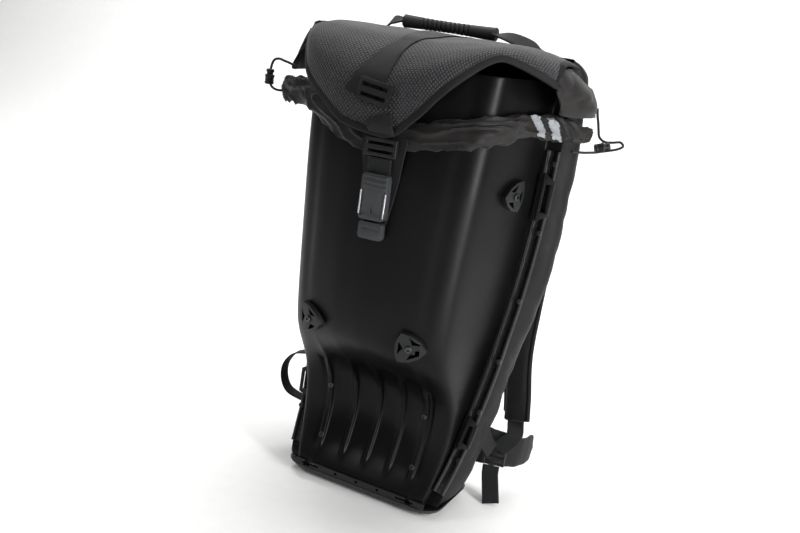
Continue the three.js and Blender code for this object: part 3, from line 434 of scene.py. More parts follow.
body_nylon = woven("body_nylon", "#0a0a0b", "#141314", 0.9, 0.12, roughness=0.55, sheen=0.05)
coated_nylon = woven("coated_nylon", "#110f0f", "#1d1b1a", 0.9, 0.12, roughness=0.5, sheen=0.08)
strip_nylon = woven("packcloth", "#0a090b", "#121113", 1.1, 0.15, sheen=0.04)
pad_knit = woven("pad_knit", "#0e0f0f", "#181919", 1.4, 0.25, roughness=0.8, sheen=0.15)


def ribbed_webbing(name, dark, light, rib, depth):
    """Webbing with a rib spacing in mm along its UV map, and a slanted thread in each rib."""
    material, tree, shader = finish(
        name, dark, 0.62, Sheen_Weight=0.06, Sheen_Roughness=0.4, Specular_IOR_Level=0.25
    )
    across, along = threads_of(tree, rib)
    slant = maths(tree, "MULTIPLY", maths(tree, "SINE", across), 0.6)
    ribs = maths(tree, "ABSOLUTE", maths(tree, "SINE", maths(tree, "ADD", along, slant)))
    vary(tree, shader, summed(tree, ribs, 0.6, clouds(tree, 160.0, 3.0), 0.4), dark, light, 0.55, 0.72)
    relief(tree, shader, ribs, depth)
    return material


webbing = ribbed_webbing("polyester_webbing", "#0a0b0c", "#17181a", 1.6, 0.25)
braid = ribbed_webbing("braided_cord", "#0f1011", "#1f2021", 1.3, 0.3)


def knitted_mesh(name, knot_shaded, knot_light, ground, spacing, depth):
    """A mesh cloth: light knots a spacing in mm apart on a dark ground, in staggered rows, with painted shade
    in slow patches.
    """
    material, tree, shader = finish(name, knot_light, 0.75, Sheen_Weight=0.15, Sheen_Roughness=0.4)
    turn = add(tree, "ShaderNodeVectorRotate", {"Vector": place_of(tree, "UV")}, {"Angle": math.pi / 4})
    cells = add(
        tree, "ShaderNodeTexVoronoi", {"Vector": turn.outputs["Vector"]},
        {"Scale": 1000 / spacing, "Randomness": 0.18}, voronoi_dimensions="2D",
    )
    knots = ranged(tree, cells.outputs["Distance"], {"From Min": 0.42, "From Max": 0.2})
    # Slow patches where the knots turn darker are painted shade, standing in for the shade of folds.
    slow = clouds(tree, 30.0, 4.0)
    tint = blend(tree, knots, ground, blend(tree, slow, knot_shaded, knot_light))
    tree.links.new(tint, shader.inputs["Base Color"])
    relief(tree, shader, maths(tree, "MULTIPLY_ADD", slow, 0.2, knots), depth)
    return material


hood_mesh = knitted_mesh("spacer_mesh", "#1d1b1e", "#4b464d", "#060507", 3.7, 0.6)

# %% [markdown]
# ### Metal, rubber and reflective tape
# The screws are blackened steel and the buckle's edges plated. The grip is ribbed rubber, soft and dull. The
# tape on the collar is glass-bead reflective tape, light grey and slightly pearly in ordinary light.

# %% Small finishes
def brushed_steel(name, colour, roughness, dark, light, smoothest, roughest):
    material, tree, shader = finish(name, colour, roughness, Metallic=1.0)
    vary(tree, shader, clouds(tree, 900.0, 4.0), dark, light, smoothest, roughest)
    return material


screw_steel = brushed_steel("black_steel", "#46484b", 0.34, "#333538", "#5a5d60", 0.28, 0.44)
bright_steel = brushed_steel("plated_steel", "#b9bcc0", 0.3, "#8e9196", "#d0d2d4", 0.24, 0.42)
grip_rubber = moulded("ribbed_rubber", "#161617", "#222223", 0.58, 0.5, 0.05, specular=0.35)

tape, tree, shader = finish("reflective_tape", "#b4b7ba", 0.42, Sheen_Weight=0.2)
beads = add(tree, "ShaderNodeTexVoronoi", {"Vector": place_of(tree, "UV")}, {"Scale": 900.0})
vary(tree, shader, beads.outputs["Distance"], "#66696d", "#8e9195", 0.34, 0.5)
relief(tree, shader, beads.outputs["Distance"], 0.06)
print("materials:", len(bpy.data.materials))

for side, cord in cords.items():
    done(smooth(cord), "cord", braid, f"cord_{side}")

# %% [markdown]
# ## Working from the frame's solids
# Where a rigid solid already has the right form, its mesh is copied, its loose triangles are merged back into
# quads, and a subdivision surface or a bevel rounds it. Folds are put in by moving its points.

# %% Copies of the solids
def taken(node, name):
    """A copy of a rigid solid, merged and with its triangles paired into quads."""
    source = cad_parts[node]
    bare()
    obj = linked(name, source.data.copy())
    obj.data.transform(source.matrix_world)
    return edited(
        obj,
        lambda: bpy.ops.mesh.remove_doubles(threshold=1e-5),
        lambda: bpy.ops.mesh.tris_convert_to_quads(
            face_threshold=math.radians(50), shape_threshold=math.radians(60)
        ),
    )


def fetched(items, key, wide, kind=np.float32):
    """One of a mesh's properties as a table."""
    values = np.empty(len(items) * wide, dtype=kind)
    items.foreach_get(key, values)
    return values.reshape(-1, wide)


def boxed(obj):
    """A UV map in metres, projected along each face's main direction."""
    mesh = obj.data
    if not mesh.uv_layers:
        mesh.uv_layers.new(name="UVMap")
    corner = fetched(mesh.loops, "vertex_index", 1, np.int32)[:, 0]
    sides = fetched(mesh.polygons, "loop_total", 1, np.int32)[:, 0]
    main = np.repeat(np.abs(fetched(mesh.polygons, "normal", 3)).argmax(axis=1), sides)[:, None]
    p = fetched(mesh.vertices, "co", 3)[corner]
    uv = np.where(main == 0, p[:, 1:3], np.where(main == 1, p[:, [0, 2]], p[:, :2]))
    mesh.uv_layers.active.data.foreach_set("uv", uv.astype(np.float32).ravel())
    return obj


def moved(obj, shift):
    """Moves each point by shift(place, normal), both as vectors, in metres."""
    mesh = obj.data
    normals = [v.normal.copy() for v in mesh.vertices]
    for vertex, normal in zip(mesh.vertices, normals):
        vertex.co += shift(vertex.co, normal)
    mesh.update()
    return obj


# %% [markdown]
# ## The shell
# One moulded sheet, 3 mm thick, with a rounded ridge down each side of its front, a scoop at the bottom and
# upright ribs in the scoop. The rigid solid has the form in coarse faces, so a subdivision surface makes the
# ridges and ribs run as softly as on a moulding.

# %% Shell and base tray
SCOOP_HALF, SCOOP_FLARE, SCOOP_FOOT = 88.5, 0.0434, 53
BROW_HEIGHT, BROW_BEND, POCKET_DROP = 176, 0.0012, 13
RIB_PITCH, OUTER_RIB = 0.37, 0.74
RIBS = (-OUTER_RIB, -RIB_PITCH, 0.0, RIB_PITCH, OUTER_RIB)
RIB_HALF, RIB_EDGE, CHANNEL_DEPTH, RIB_LIFT = 3.4, 1.5, 2.8, 1.6


def step_up(value, start, end):
    """Goes smoothly from 0 at the start to 1 at the end."""
    s = min(1, max(0, (value - start) / (end - start)))
    return s * s * (3 - 2 * s)


def scoop_ribs(p, normal):
    """Flat-topped ribs, and channels between them that end in round pockets under the shell's brow."""
    x, z = p.x / MM, p.z / MM
    half_front = SCOOP_HALF + SCOOP_FLARE * (z - SCOOP_FOOT)
    if normal.y > -0.15 or abs(x) > half_front:
        return Vector()
    away = min(abs(x - rib * half_front) for rib in RIBS)
    half_pitch = RIB_PITCH * half_front / 2
    brow = BROW_HEIGHT - POCKET_DROP * max(0, 1 - away / half_pitch) ** 2 - BROW_BEND * x * x
    span = step_up(z, 34, 52) * (1 - step_up(z, brow - 9, brow))
    rib = 1 - step_up(away, RIB_HALF - RIB_EDGE, RIB_HALF + RIB_EDGE)
    outer = 1 - step_up(abs(x), OUTER_RIB * half_front + 6, OUTER_RIB * half_front + 12)
    channel = (1 - rib) * outer * (0.5 + 0.5 * step_up(z, 80, 165))
    return normal * MM * span * (RIB_LIFT * rib - CHANNEL_DEPTH * channel)


shell = taken("shell", "moulded_shell")
moved(subdivided(shell, 3), scoop_ribs)
done(smooth(shell, 60), "shell", shell_plastic, "shell")

done(smooth(bevelled(taken("base_tray", "tray"), 1.2, 35)), "trim", trim_plastic, "base_tray")

# %% [markdown]
# ## The cloth body
# Behind the rails the pack is coated nylon on a flat frame sheet. The sides are slack, with long shallow
# folds that run from the rail towards the back, and small creases between them. The folds are waves in the
# cloth, strongest half way across the side and gone at the rail and at the corner, where seams hold it.

# %% Cloth body
RAIL_SEAM, SIDE_DEPTH = -0.005, 0.066
FOLD, CREASE = 1.5, 1.0
body = subdivided(taken("back_body", "cloth_body"), 3)


def body_folds(p, normal):
    side = min(1, abs(normal.x) * 1.3)
    free = side * math.sin(math.pi * min(1, max(0, (p.y - RAIL_SEAM) / SIDE_DEPTH)))
    lean = p.z / MM * 0.055 + p.y / MM * 0.03 * (1 if p.x > 0 else -1)
    wave = math.sin(lean + 2.2 * noise.noise(p * 14)) + 0.6 * noise.noise(p * 45)
    crease = 0.5 * noise.noise(Vector((p.x * 30, p.y * 60, p.z * 110)))
    return normal * MM * free * (FOLD * wave + CREASE * crease - 0.8)


moved(body, body_folds)
done(smooth(boxed(body), 70), "nylon", body_nylon, "back_body")

# %% [markdown]
# ## Rails
# Each rail clamps the shell's flange to the cloth. It is an extrusion with two thin beads along its inner
# edge, a shallow pierced channel and a broad outer bead that takes the screws. Its section is drawn along the
# rail's line, which is the one table of points here.

# %% Rails
rail_line = [
    (106.9, -55.6, 30.2), (111.3, -41.3, 53.8), (115.3, -27.9, 80.4), (119.1, -19.9, 107.1),
    (123.1, -13.7, 133.9), (127.1, -8.4, 160.6), (131.8, -5.2, 192.6), (135.6, -2.5, 224.7),
    (141.2, 0.2, 267.5), (147.0, 1.2, 321.0), (151.1, 1.2, 374.5), (153.7, -0.5, 428.0), (154.5, -0.6, 457.4),
]
rail_section = [
    (-12.4, 0), (-12.4, 2.9), (-12.0, 3.7), (-11.4, 3.9), (-10.8, 3.6), (-10.5, 2.6), (-10.2, 3.2),
    (-9.6, 3.6), (-9.0, 3.3), (-8.6, 2.2), (-8.2, 1.6), (-2.4, 1.6), (-2.0, 1.9), (-1.6, 3.0), (-1.0, 3.7),
    (0, 4.0), (1.4, 4.0), (2.3, 3.6), (2.9, 2.8), (3.0, 0),
]
perforated, tree, shader = finish("pierced_polyamide", "#141516", 0.42, Specular_IOR_Level=0.35)
split = add(tree, "ShaderNodeSeparateXYZ", {"Vector": place_of(tree, "UV")})
HOLE_STEP, CHANNEL_MIDDLE = 7.0, 13.0
around = maths(tree, "SUBTRACT", split.outputs["X"], CHANNEL_MIDDLE * MM)
along = maths(tree, "PINGPONG", split.outputs["Y"], HOLE_STEP * MM / 2)
squares = [maths(tree, "POWER", value, 2.0) for value in (around, along)]
reach = maths(tree, "SQRT", maths(tree, "ADD", *squares))
# The holes are only drawn: each is painted near-black as painted shade in the hole, made rougher, and pressed
# in by a bump at its rim.
shaded_hole = ranged(tree, reach, {"From Min": 1.0 * MM, "From Max": 1.35 * MM})
vary(tree, shader, shaded_hole, "#030303", "#161718", 0.7, 0.42)
relief(tree, shader, shaded_hole, 0.8)

for side, sign in SIDES:
    line = smooth_line(mirrored(sign, rail_line), 4.0)
    section = [(sign * a, b) for a, b in rail_section]
    rail = drawn(f"rail_extrusion_{side}", line, lambda t: section, lambda t: (1, 0, 0))
    done(smooth(rail, 50), "trim", perforated, f"rail_{side}")

# %% [markdown]
# ## Screws
# The screw heads are low domes with a hexagon socket. Each size is modelled once and copied: a cylinder whose
# top edge is rounded by a bevel, and a socket cut into it.

# %% Screws
def head(radius, height):
    """A screw head at the origin, its axis along Z."""
    def cylinder(vertices, reach, at):
        bare()
        bpy.ops.mesh.primitive_cylinder_add(
            vertices=vertices, radius=reach * MM, depth=height * MM, location=(0, 0, at * MM)
        )
        bpy.ops.object.transform_apply(location=True)
        return bpy.context.object

    dome = bevelled(cylinder(24, radius, height / 2), 0.35 * height, 50)
    return cut(dome, cylinder(6, 0.5 * radius, height))


def screwed(pattern, name, at, out, lift, sign, *nodes):
    """A copy of a screw, lifted by some mm from its place on the right, or mirrored to the left."""
    x, y, z = Vector(at) + Vector(out) * lift
    obj = laid(linked(name, pattern.data.copy()), (sign * x, y, z), (sign * out[0], *out[1:]))
    return done(smooth(obj), "screw", screw_steel, *nodes)


screw = head(3.4, 2.4)
rail_screws = [
    ((113.8, -37.7, 72.2), (0, -0.919, 0.394)), ((122.8, -20.1, 133.6), (0, -0.976, 0.219)),
    ((132.6, -10.9, 199.6), (0, -0.997, 0.083)), ((142.3, -5.8, 277.3), (0, -1, 0.022)),
    ((150.3, -4.8, 362.2), (0, -1, -0.007)), ((154.2, -6.8, 444.0), (0, -1, 0)),
]
rib_screws = {
    "upper": ((67.6, -46.5, 119.8), (-0.243, -0.962, -0.123)),
    "lower": ((65.5, -57.0, 53.0), (-0.110, -0.919, 0.380)),
}
for side, sign in SIDES:
    for i, (at, out) in enumerate(rail_screws):
        screwed(screw, f"rail_screw_{side}_{i + 1}", at, out, -2.0, sign)
    for level, (at, out) in rib_screws.items():
        screwed(screw, f"rib_screw_{level}_{side}", at, out, 4.2, sign, f"scoop_screw_{level}_{side}")

# %% [markdown]
# ## Lugs, lip strip and anchors
# These mouldings already have their outline, slots and windows in the solids. A real moulding has no sharp
# edge, so a bevel rounds each one, and the light then catches it as it does in the photograph.

# %% Mouldings with rounded edges
def rounded(node, name, width, material=trim_plastic, slot="trim"):
    return done(smooth(bevelled(taken(node, name), width, 32), 35), slot, material, node)


for side, _ in SIDES:
    for level in ("upper", "lower"):
        rounded(f"lug_{level}_{side}", f"lug_{side}_{level}", 0.6)
    for level in ("upper", "lower"):
        rounded(f"anchor_{level}_{side}", f"anchor_plate_{level}_{side}", 0.9)
rounded("lip_strip", "lip_bar", 0.4)

anchor_screw = head(4.2, 3.0)
anchor_seats = {
    "upper": ((124.4, -46.8, 405.0), (0.972, -0.230, -0.056)),
    "lower": ((63.8, -124.6, 226.8), (0.315, -0.936, -0.157)),
}
for side, sign in SIDES:
    for level, (at, out) in anchor_seats.items():
        screwed(anchor_screw, f"anchor_screw_{level}_{side}", at, out, 5.2, sign)
bpy.data.objects.remove(screw)
bpy.data.objects.remove(anchor_screw)

# %% [markdown]
# ## The hood
# One piece of knitted mesh lies over the mouth and comes down in front to a point, where the buckle pulls it.
# Its four edges are known, so a patch is stretched between them and dropped from outside onto the rigid hood,
# which gives an even grid of cloth. The grid is softened, given its slack and thickened. The lengths along
# its rows and columns are its UV map, which is also the pattern that it was cut to.

# %% Hood cloth
def grid_piece(name, rows, thickness):
    """A sheet from rows of points in mm, mapped in metres. Gives it, its flat size and its area."""
    count, wide = len(rows), len(rows[0])
    across = [runs_of(row) for row in rows]
    down = [runs_of(column) for column in zip(*rows)]
    uv = {
        (j, i): (across[j][i] - across[j][wide // 2], down[i][j]) for j in range(count) for i in range(wide)
    }
    faces, uvs = [], []
    for j in range(count - 1):
        for i in range(wide - 1):
            corners = [(j, i), (j + 1, i), (j + 1, i + 1), (j, i + 1)]
            faces.append(tuple(a * wide + b for a, b in corners))
            uvs.append([uv[c] for c in corners])
    obj = mesh_piece(name, [p for row in rows for p in row], faces, uvs)
    area = sum(face.area for face in obj.data.polygons)
    flat = [float(np.ptp([place[k] for place in uv.values()])) * MM for k in (0, 1)]
    print(f"{name}: cut {flat[0] * 1000:.0f} x {flat[1] * 1000:.0f} mm, {area * 1e4:.0f} cm2")
    middle_face = obj.data.polygons[len(faces) // 2]
    if middle_face.normal.dot(middle_face.center - Vector((0, 0, 0.4))) < 0:
        obj.data.flip_normals()
    if thickness:
        apply(obj, "SOLIDIFY", thickness=thickness * MM, offset=-1)
    return obj, flat, min(area, 0.999 * flat[0] * flat[1])


front_edge = [
    (-148.0, -70.2, 546.2), (-130.3, -100.4, 520.8), (-111.4, -122.3, 499.9), (-89.2, -134.0, 485.1),
    (-71.2, -141.7, 475.1), (-57.9, -148.2, 467.3), (-44.8, -152.7, 461.5), (-27.9, -154.5, 457.9),
    (-7.0, -155.6, 455.2), (11.9, -156.0, 454.0), (26.5, -155.4, 460.3), (39.3, -154.0, 472.9),
    (51.4, -152.1, 486.2), (62.8, -149.0, 501.5), (74.4, -143.0, 515.7), (86.0, -133.1, 528.9),
    (97.6, -121.5, 541.6), (110.0, -107.6, 549.2), (125.0, -92.3, 544.7), (141.9, -76.3, 537.0),
    (160.4, -60.1, 527.4),
]
left_edge = [
    (-147.3, 6, 555.2), (-147.2, -19.2, 557.8), (-147.4, -37.1, 558.5), (-147.6, -54.5, 557.7),
    (-148, -70.2, 546.2),
]
right_edge = [
    (157.3, 6, 551.8), (157.2, -19.6, 554.5), (157.9, -33.2, 554.8), (158.6, -46.5, 551.9),
    (160.4, -60.1, 527.4),
]
back_edge = [(-147.3, 6, 555.2), (-80, 6, 562), (5, 6, 565), (90, 6, 561), (157.3, 6, 551.8)]
HOOD_ACROSS, HOOD_DOWN = 72, 48
SWELL, RIPPLE, SLACK = 1.8, 1.1, 0.5


def even(points, count):
    """A smooth line through points, set out again as a number of even steps."""
    line = smooth_line(points, 1.0)
    return [line[round(i * (len(line) - 1) / count)] for i in range(count + 1)]


def patch(u, v, front, back, left, right):
    across, down = len(front) - 1, len(left) - 1
    i, j = round(u * across), round(v * down)
    ruled = (1 - v) * back[i] + v * front[i] + (1 - u) * left[j] + u * right[j]
    return (
        ruled - (1 - u) * (1 - v) * back[0] - u * (1 - v) * back[-1]
        - (1 - u) * v * front[0] - u * v * front[-1]
    )


def tree_of(node):
    form = bmesh.new()
    form.from_mesh(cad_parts[node].data)
    form.transform(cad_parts[node].matrix_world)
    tree = BVHTree.FromBMesh(form)
    form.free()
    return tree


edges = [even(edge, HOOD_ACROSS) for edge in (front_edge, back_edge)]
edges += [even(edge, HOOD_DOWN) for edge in (left_edge, right_edge)]
rigid_hood = tree_of("hood")
hood_rows = [
    [patch(i / HOOD_ACROSS, j / HOOD_DOWN, *edges) for i in range(HOOD_ACROSS + 1)]
    for j in range(HOOD_DOWN + 1)
]


def turned_out(rows, j, i):
    """The direction square to a grid at one of its points, away from the pack."""
    a, b = rows[max(j - 1, 0)][i], rows[min(j + 1, len(rows) - 1)][i]
    c, d = rows[j][max(i - 1, 0)], rows[j][min(i + 1, len(rows[0]) - 1)]
    normal = (d - c).cross(b - a).normalized()
    return normal if normal.dot(Vector((0, -0.5, 1))) > 0 else -normal


def each(rows, change):
    """A new grid, with change(j, i, p) in place of each point p."""
    return [[change(j, i, p) for i, p in enumerate(row)] for j, row in enumerate(rows)]


def landed(j, i, p):
    """The place on the rigid hood that lies under a point."""
    out = turned_out(hood_rows, j, i)
    hit = rigid_hood.ray_cast((p + out * 70) * MM, -out, 140 * MM)
    return hit[0] / MM if hit[0] is not None else p


def softened(j, i, p):
    """An inner point, drawn half way to the middle of its four neighbours."""
    if i in (0, HOOD_ACROSS) or j in (0, HOOD_DOWN):
        return p
    neighbours = hood_rows[j - 1][i] + hood_rows[j + 1][i] + hood_rows[j][i - 1] + hood_rows[j][i + 1]
    return 0.5 * p + 0.125 * neighbours


def slackened(j, i, p):
    """A point lifted as loose cloth is, less so at the edges."""
    edge = min(1, 8 * min(i / HOOD_ACROSS, 1 - i / HOOD_ACROSS, (1 - j / HOOD_DOWN) + 0.04))
    lift = SWELL * noise.noise(p * 0.013) + RIPPLE * noise.noise(p * 0.03) + SLACK
    return p + turned_out(hood_rows, j, i) * edge * lift


for change in (landed, *[softened] * 10, slackened):
    hood_rows = each(hood_rows, change)
hood, hood_flat, hood_area = grid_piece("mesh_hood", hood_rows, 1.8)
done(smooth(hood, 70), "mesh", hood_mesh, "hood")

# %% [markdown]
# The edge is bound with folded tape, a bare panel is sewn on the crown, and the strap below it carries the
# ladder lock. All of them lie on the same cloth, so each is a part of its grid, lifted a little.

# %% Binding, panel and strap
def bound(name, width, thickness):
    """Folded tape round the hood's left, front and right edge, in one run."""
    route = [(j, 0) for j in range(HOOD_DOWN)] + [(HOOD_DOWN, i) for i in range(HOOD_ACROSS + 1)]
    route += [(j, HOOD_ACROSS) for j in range(HOOD_DOWN - 1, -1, -1)]
    places = [hood_rows[j][i] for j, i in route]
    outs = [turned_out(hood_rows, j, i) for j, i in route]
    inner = [hood_rows[min(j, HOOD_DOWN - 3)][min(max(i, 3), HOOD_ACROSS - 3)] for j, i in route]
    last = len(route) - 1
    for _ in range(3):
        outs = [
            (outs[max(i - 1, 0)] + outs[i] + outs[min(i + 1, last)]).normalized() for i in range(last + 1)
        ]
    line, sides = [], []
    for i, (place, out, within) in enumerate(zip(places, outs, inner)):
        tangent = (places[min(i + 1, last)] - places[max(i - 1, 0)]).normalized()
        side = out.cross(tangent).normalized()
        side = side if side.dot(within - place) > 0 else -side
        line.append(place + side * (width / 2 - 1) - out * 0.7)
        sides.append(side)
    return drawn(name, line, lambda t: flat_section(width, thickness, 0.5), lambda t: sides[round(t * last)])


binding = bound("hood_binding", 8.5, 2.8)
done(smooth(binding, 60), "nylon", strip_nylon)


def on_hood(u, v):
    """A place on the hood's cloth, u across and v down, and the direction out of it."""
    x, y = u * HOOD_ACROSS, v * HOOD_DOWN
    i, j = min(int(x), HOOD_ACROSS - 1), min(int(y), HOOD_DOWN - 1)
    a, b = x - i, y - j
    low = (1 - a) * hood_rows[j][i] + a * hood_rows[j][i + 1]
    high = (1 - a) * hood_rows[j + 1][i] + a * hood_rows[j + 1][i + 1]
    return (1 - b) * low + b * high, turned_out(hood_rows, round(y), round(x))


def sewn(name, left, right, down, lift, thickness, steps, slot, material, *nodes):
    """A part of the hood's cloth. left and right are its sides' u at its top and foot, down its v at both."""
    wide, tall = steps
    rows = []
    for j in range(tall + 1):
        t = j / tall
        start, end = left[0] + t * (left[1] - left[0]), right[0] + t * (right[1] - right[0])
        line = []
        for i in range(wide + 1):
            place, out = on_hood(start + (end - start) * i / wide, down[0] + t * (down[1] - down[0]))
            line.append(place + out * lift)
        rows.append(line)
    piece = grid_piece(name, rows, thickness)[0]
    return done(smooth(piece, 60), slot, material, *nodes)


sewn(
    "bare_panel", (0.43, 0.445), (0.6, 0.545), (0.01, 0.56), 1.4, 1.5, (16, 40), "nylon", strip_nylon,
    "hood_strip",
)
sewn(
    "hood_webbing", (0.447, 0.36), (0.543, 0.455), (0.55, 0.875), 1.7, 1.7, (10, 40), "webbing", webbing,
    "hood_strap",
)

# %% [markdown]
# ## The gussets
# At each side a loose wall of coated nylon joins the hood's edge to the body. It is slack cloth, so it hangs
# in diagonal folds.

# %% Gussets
GUSSET_LENGTH, FLUTE, CRUMPLE = 0.16, 2.2, 2.4


def gusset_folds(p, normal):
    lean = 95 * p.z + 60 * abs(p.x) - 50 * p.y
    wave = math.sin(lean + 2.5 * noise.noise(p * 22))
    return Vector((normal.x, normal.y, 0)) * MM * (FLUTE * wave + CRUMPLE * noise.noise(p * 40))


for side, _ in SIDES:
    piece = subdivided(taken(f"gusset_{side}", f"gusset_cloth_{side}"), 3)
    moved(piece, gusset_folds)
    done(smooth(boxed(piece), 70), "nylon", coated_nylon, f"gusset_{side}")

# %% [markdown]
# ## The gathered collar
# The collar is a wide tube of coated nylon, drawn together and squeezed out between the hood and the shell.
# Its section is an upright oval, flat behind the buckle, and the gathers are sharp ridges that run across it
# at uneven steps, with finer creases between.

# %% Collar
collar_points = [
    (-177.0, 35.5, 473.5), (-179.5, 6.5, 474.5), (-180.0, -22.7, 475.7), (-175.2, -51.4, 476.8),
    (-163.1, -77.7, 477.8), (-141.4, -96.9, 478.6), (-115.3, -109.6, 478.8), (-92.6, -127.2, 474.1),
    (-64.9, -136.6, 463.6), (-36.6, -143.2, 453.1), (-7.6, -145.7, 448.3), (21.6, -145.0, 452.8),
    (50.3, -140.5, 461.4), (78.3, -132.3, 468.6), (105.0, -120.7, 475.3), (122.0, -98.1, 479.6),
    (128.3, -69.6, 483.2), (136.9, -41.8, 484.7), (149.1, -15.2, 483.6), (165.5, 8.7, 481.2),
    (177.0, 35.5, 478.8),
]
COLLAR_SIDES = 56
COLLAR_HIGH, COLLAR_DEEP, GATHERS = 13, 7, 13
BUCKLE_MIDDLE, FLAT_TO, ROUND_FROM = 9, 24, 44
collar_line = smooth_line(collar_points, 1.6)


def gathers(t, a):
    wander = noise.noise(Vector((t * 9, 0.7 * math.cos(a), 0.7 * math.sin(a))))
    ridge = 1 - abs(math.sin(math.pi * (GATHERS * t + 0.9 * math.cos(a) + 1.9 * wander)))
    fine = noise.noise(Vector((t * 40, 1.6 * math.cos(a), 1.6 * math.sin(a))))
    return 3.6 * ridge ** 1.8 - 1.4 + 1.6 * fine


def collar_section(t):
    middle = abs(collar_line[round(t * (len(collar_line) - 1))].x - BUCKLE_MIDDLE)
    flat = 0.34 + 0.66 * min(1, max(0, (middle - FLAT_TO) / (ROUND_FROM - FLAT_TO)))
    taper = 0.55 + 0.45 * min(1, 14 * min(t, 1 - t))
    slump = 4.0 * math.exp(-(((t - 0.68) / 0.07) ** 2)) + 2.0 * math.exp(-(((t - 0.25) / 0.08) ** 2))
    places = []
    for i in range(COLLAR_SIDES):
        a = 2 * math.pi * i / COLLAR_SIDES
        up, out = math.cos(a), -math.sin(a)
        swell = gathers(t, a) * (0.35 + 0.65 * flat) * taper
        sag = slump if up < 0 else 0.4 * slump
        places.append(
            ((COLLAR_HIGH * taper + swell + sag) * up, (COLLAR_DEEP * flat * taper + swell) * out)
        )
    return places


collar = drawn("gathered_collar", collar_line, collar_section, lambda t: (0, 0, 1))
TAPE_LEAN, TAPE_REACH = 0.016, 1.15


def taped(name, start, end):
    """The collar's own outer cloth between two places along it, raised as a slanted strip of tape."""
    obj = linked(name, collar.data.copy())
    form = bmesh.new()
    form.from_mesh(obj.data)
    form.faces.ensure_lookup_table()
    rings = len(collar_line) - 1
    drop = []
    for face in form.faces:
        along = (face.index // COLLAR_SIDES + 0.5) / rings
        turn = 2 * math.pi * (face.index % COLLAR_SIDES + 0.5) / COLLAR_SIDES
        lean = (TAPE_LEAN if start > 0.5 else -TAPE_LEAN) * (turn - math.pi / 2)
        if not start <= along - lean <= end or abs(turn - math.pi / 2) > TAPE_REACH:
            drop.append(face)
    bmesh.ops.delete(form, geom=drop, context="FACES")
    form.to_mesh(obj.data)
    form.free()
    moved(obj, lambda p, normal: normal * 0.7 * MM)
    apply(obj, "SOLIDIFY", thickness=0.5 * MM, offset=-1)
    return smooth(obj, 60)


strips = [
    ("left_1", 0.112, 0.130), ("left_2", 0.147, 0.165), ("right_1", 0.836, 0.858), ("right_2", 0.879, 0.903),
]
for name, start, end in strips:
    done(taped(f"tape_{name}", start, end), "reflective", tape, f"reflective_{name}")
done(smooth(collar, 75), "nylon", coated_nylon, "collar")

# %% [markdown]
# ## Turned pieces
# The grip and the cord locks are turned forms: a half outline is drawn and spun round the Z axis, and the
# piece is then laid along its own direction.

# %% Spinning a profile
def turned(name, profile, at, axis, steps=40):
    """A piece spun from (radius, height) pairs in mm, with its Z laid along axis at a place in mm."""
    mesh = bpy.data.meshes.new(name)
    points = [(r * MM, 0, h * MM) for r, h in profile]
    mesh.from_pydata(points, [(i, i + 1) for i in range(len(points) - 1)], [])
    obj = edited(
        linked(name, mesh),
        lambda: bpy.ops.mesh.spin(steps=steps, angle=2 * math.pi, center=(0, 0, 0), axis=(0, 0, 1)),
        lambda: bpy.ops.mesh.remove_doubles(threshold=1e-6),
        lambda: bpy.ops.mesh.normals_make_consistent(inside=False),
    )
    return laid(obj, at, axis)


# %% [markdown]
# ## The carrying handle
# A ribbed rubber grip on a web. Eleven grooves run round its middle, and it swells towards its two plain
# ends. The web comes out of each end, bends down and is sewn into the top seam.

# %% Handle
GRIP_LENGTH, GRIP_RADIUS, GROOVES, GROOVE_DEPTH = 122.0, 7.5, 11, 1.9
GROOVED_FROM, GROOVED_SHARE = 0.2, 0.54
grip_profile = [(0, 0), (5.2, 0), (7.2, 0.6)]
for i in range(1, 180):
    t = i / 180
    part = (t - GROOVED_FROM) / GROOVED_SHARE
    groove = max(0.0, -math.cos(2 * math.pi * GROOVES * part)) ** 3 if 0 < part < 1 else 0.0
    waist = 1.1 - 0.2 * math.sin(math.pi * t) ** 0.6
    grip_profile.append((GRIP_RADIUS * waist - GROOVE_DEPTH * groove, 1 + t * (GRIP_LENGTH - 2)))
grip_profile += [(7.2, GRIP_LENGTH - 0.6), (5.2, GRIP_LENGTH), (0, GRIP_LENGTH)]
grip = turned("ribbed_grip", grip_profile, (-10 - GRIP_LENGTH / 2, 16.7, 574), (1, 0, 0), steps=36)
done(smooth(grip, 50), "grip", grip_rubber, "handle_grip")

handle_webs = {
    "left": [
        (-68, 16.7, 574), (-74, 16.7, 574), (-86, 17.7, 573), (-93, 22, 567.5), (-101, 26, 561.8),
        (-114, 30, 560.7),
    ],
    "right": [
        (48, 16.7, 574), (54, 16.7, 574), (68, 17.7, 573), (91, 23, 567.2), (101, 26, 561.4),
        (114, 30, 560.7),
    ],
}
for side, line in handle_webs.items():
    twist = lambda t: (0, 1, 0.8 * math.sin(math.pi * t))
    band(f"grip_web_{side}", f"handle_web_{side}", line, 20, 2.5, twist)

# %% [markdown]
# ## The front buckle
# The flap is held down by one broad strap. It comes from the ladder lock, passes the slider and ends in a
# side-release buckle with three grip bars across its top, steel edges at its sides, a small lozenge window
# and a stepped tab below. The solids give the outlines, and the details are cut in or laid on their fronts.

# %% Buckle
def boxed_in(name, centre, size, bevel):
    """A small block in mm with rounded edges."""
    bare()
    bpy.ops.mesh.primitive_cube_add(size=1, location=Vector(centre) * MM)
    obj = bpy.context.object
    obj.name = name
    obj.scale = Vector(size) * MM
    bpy.ops.object.transform_apply(location=True, scale=True)
    return bevelled(obj, bevel, 40) if bevel else obj


def front_of(tree, x, z):
    """How far forward a surface lies at a place seen from the front, in mm."""
    hit = tree.ray_cast(Vector((x, -400, z)) * MM, Vector((0, 1, 0)), 1.0)
    return hit[0].y / MM


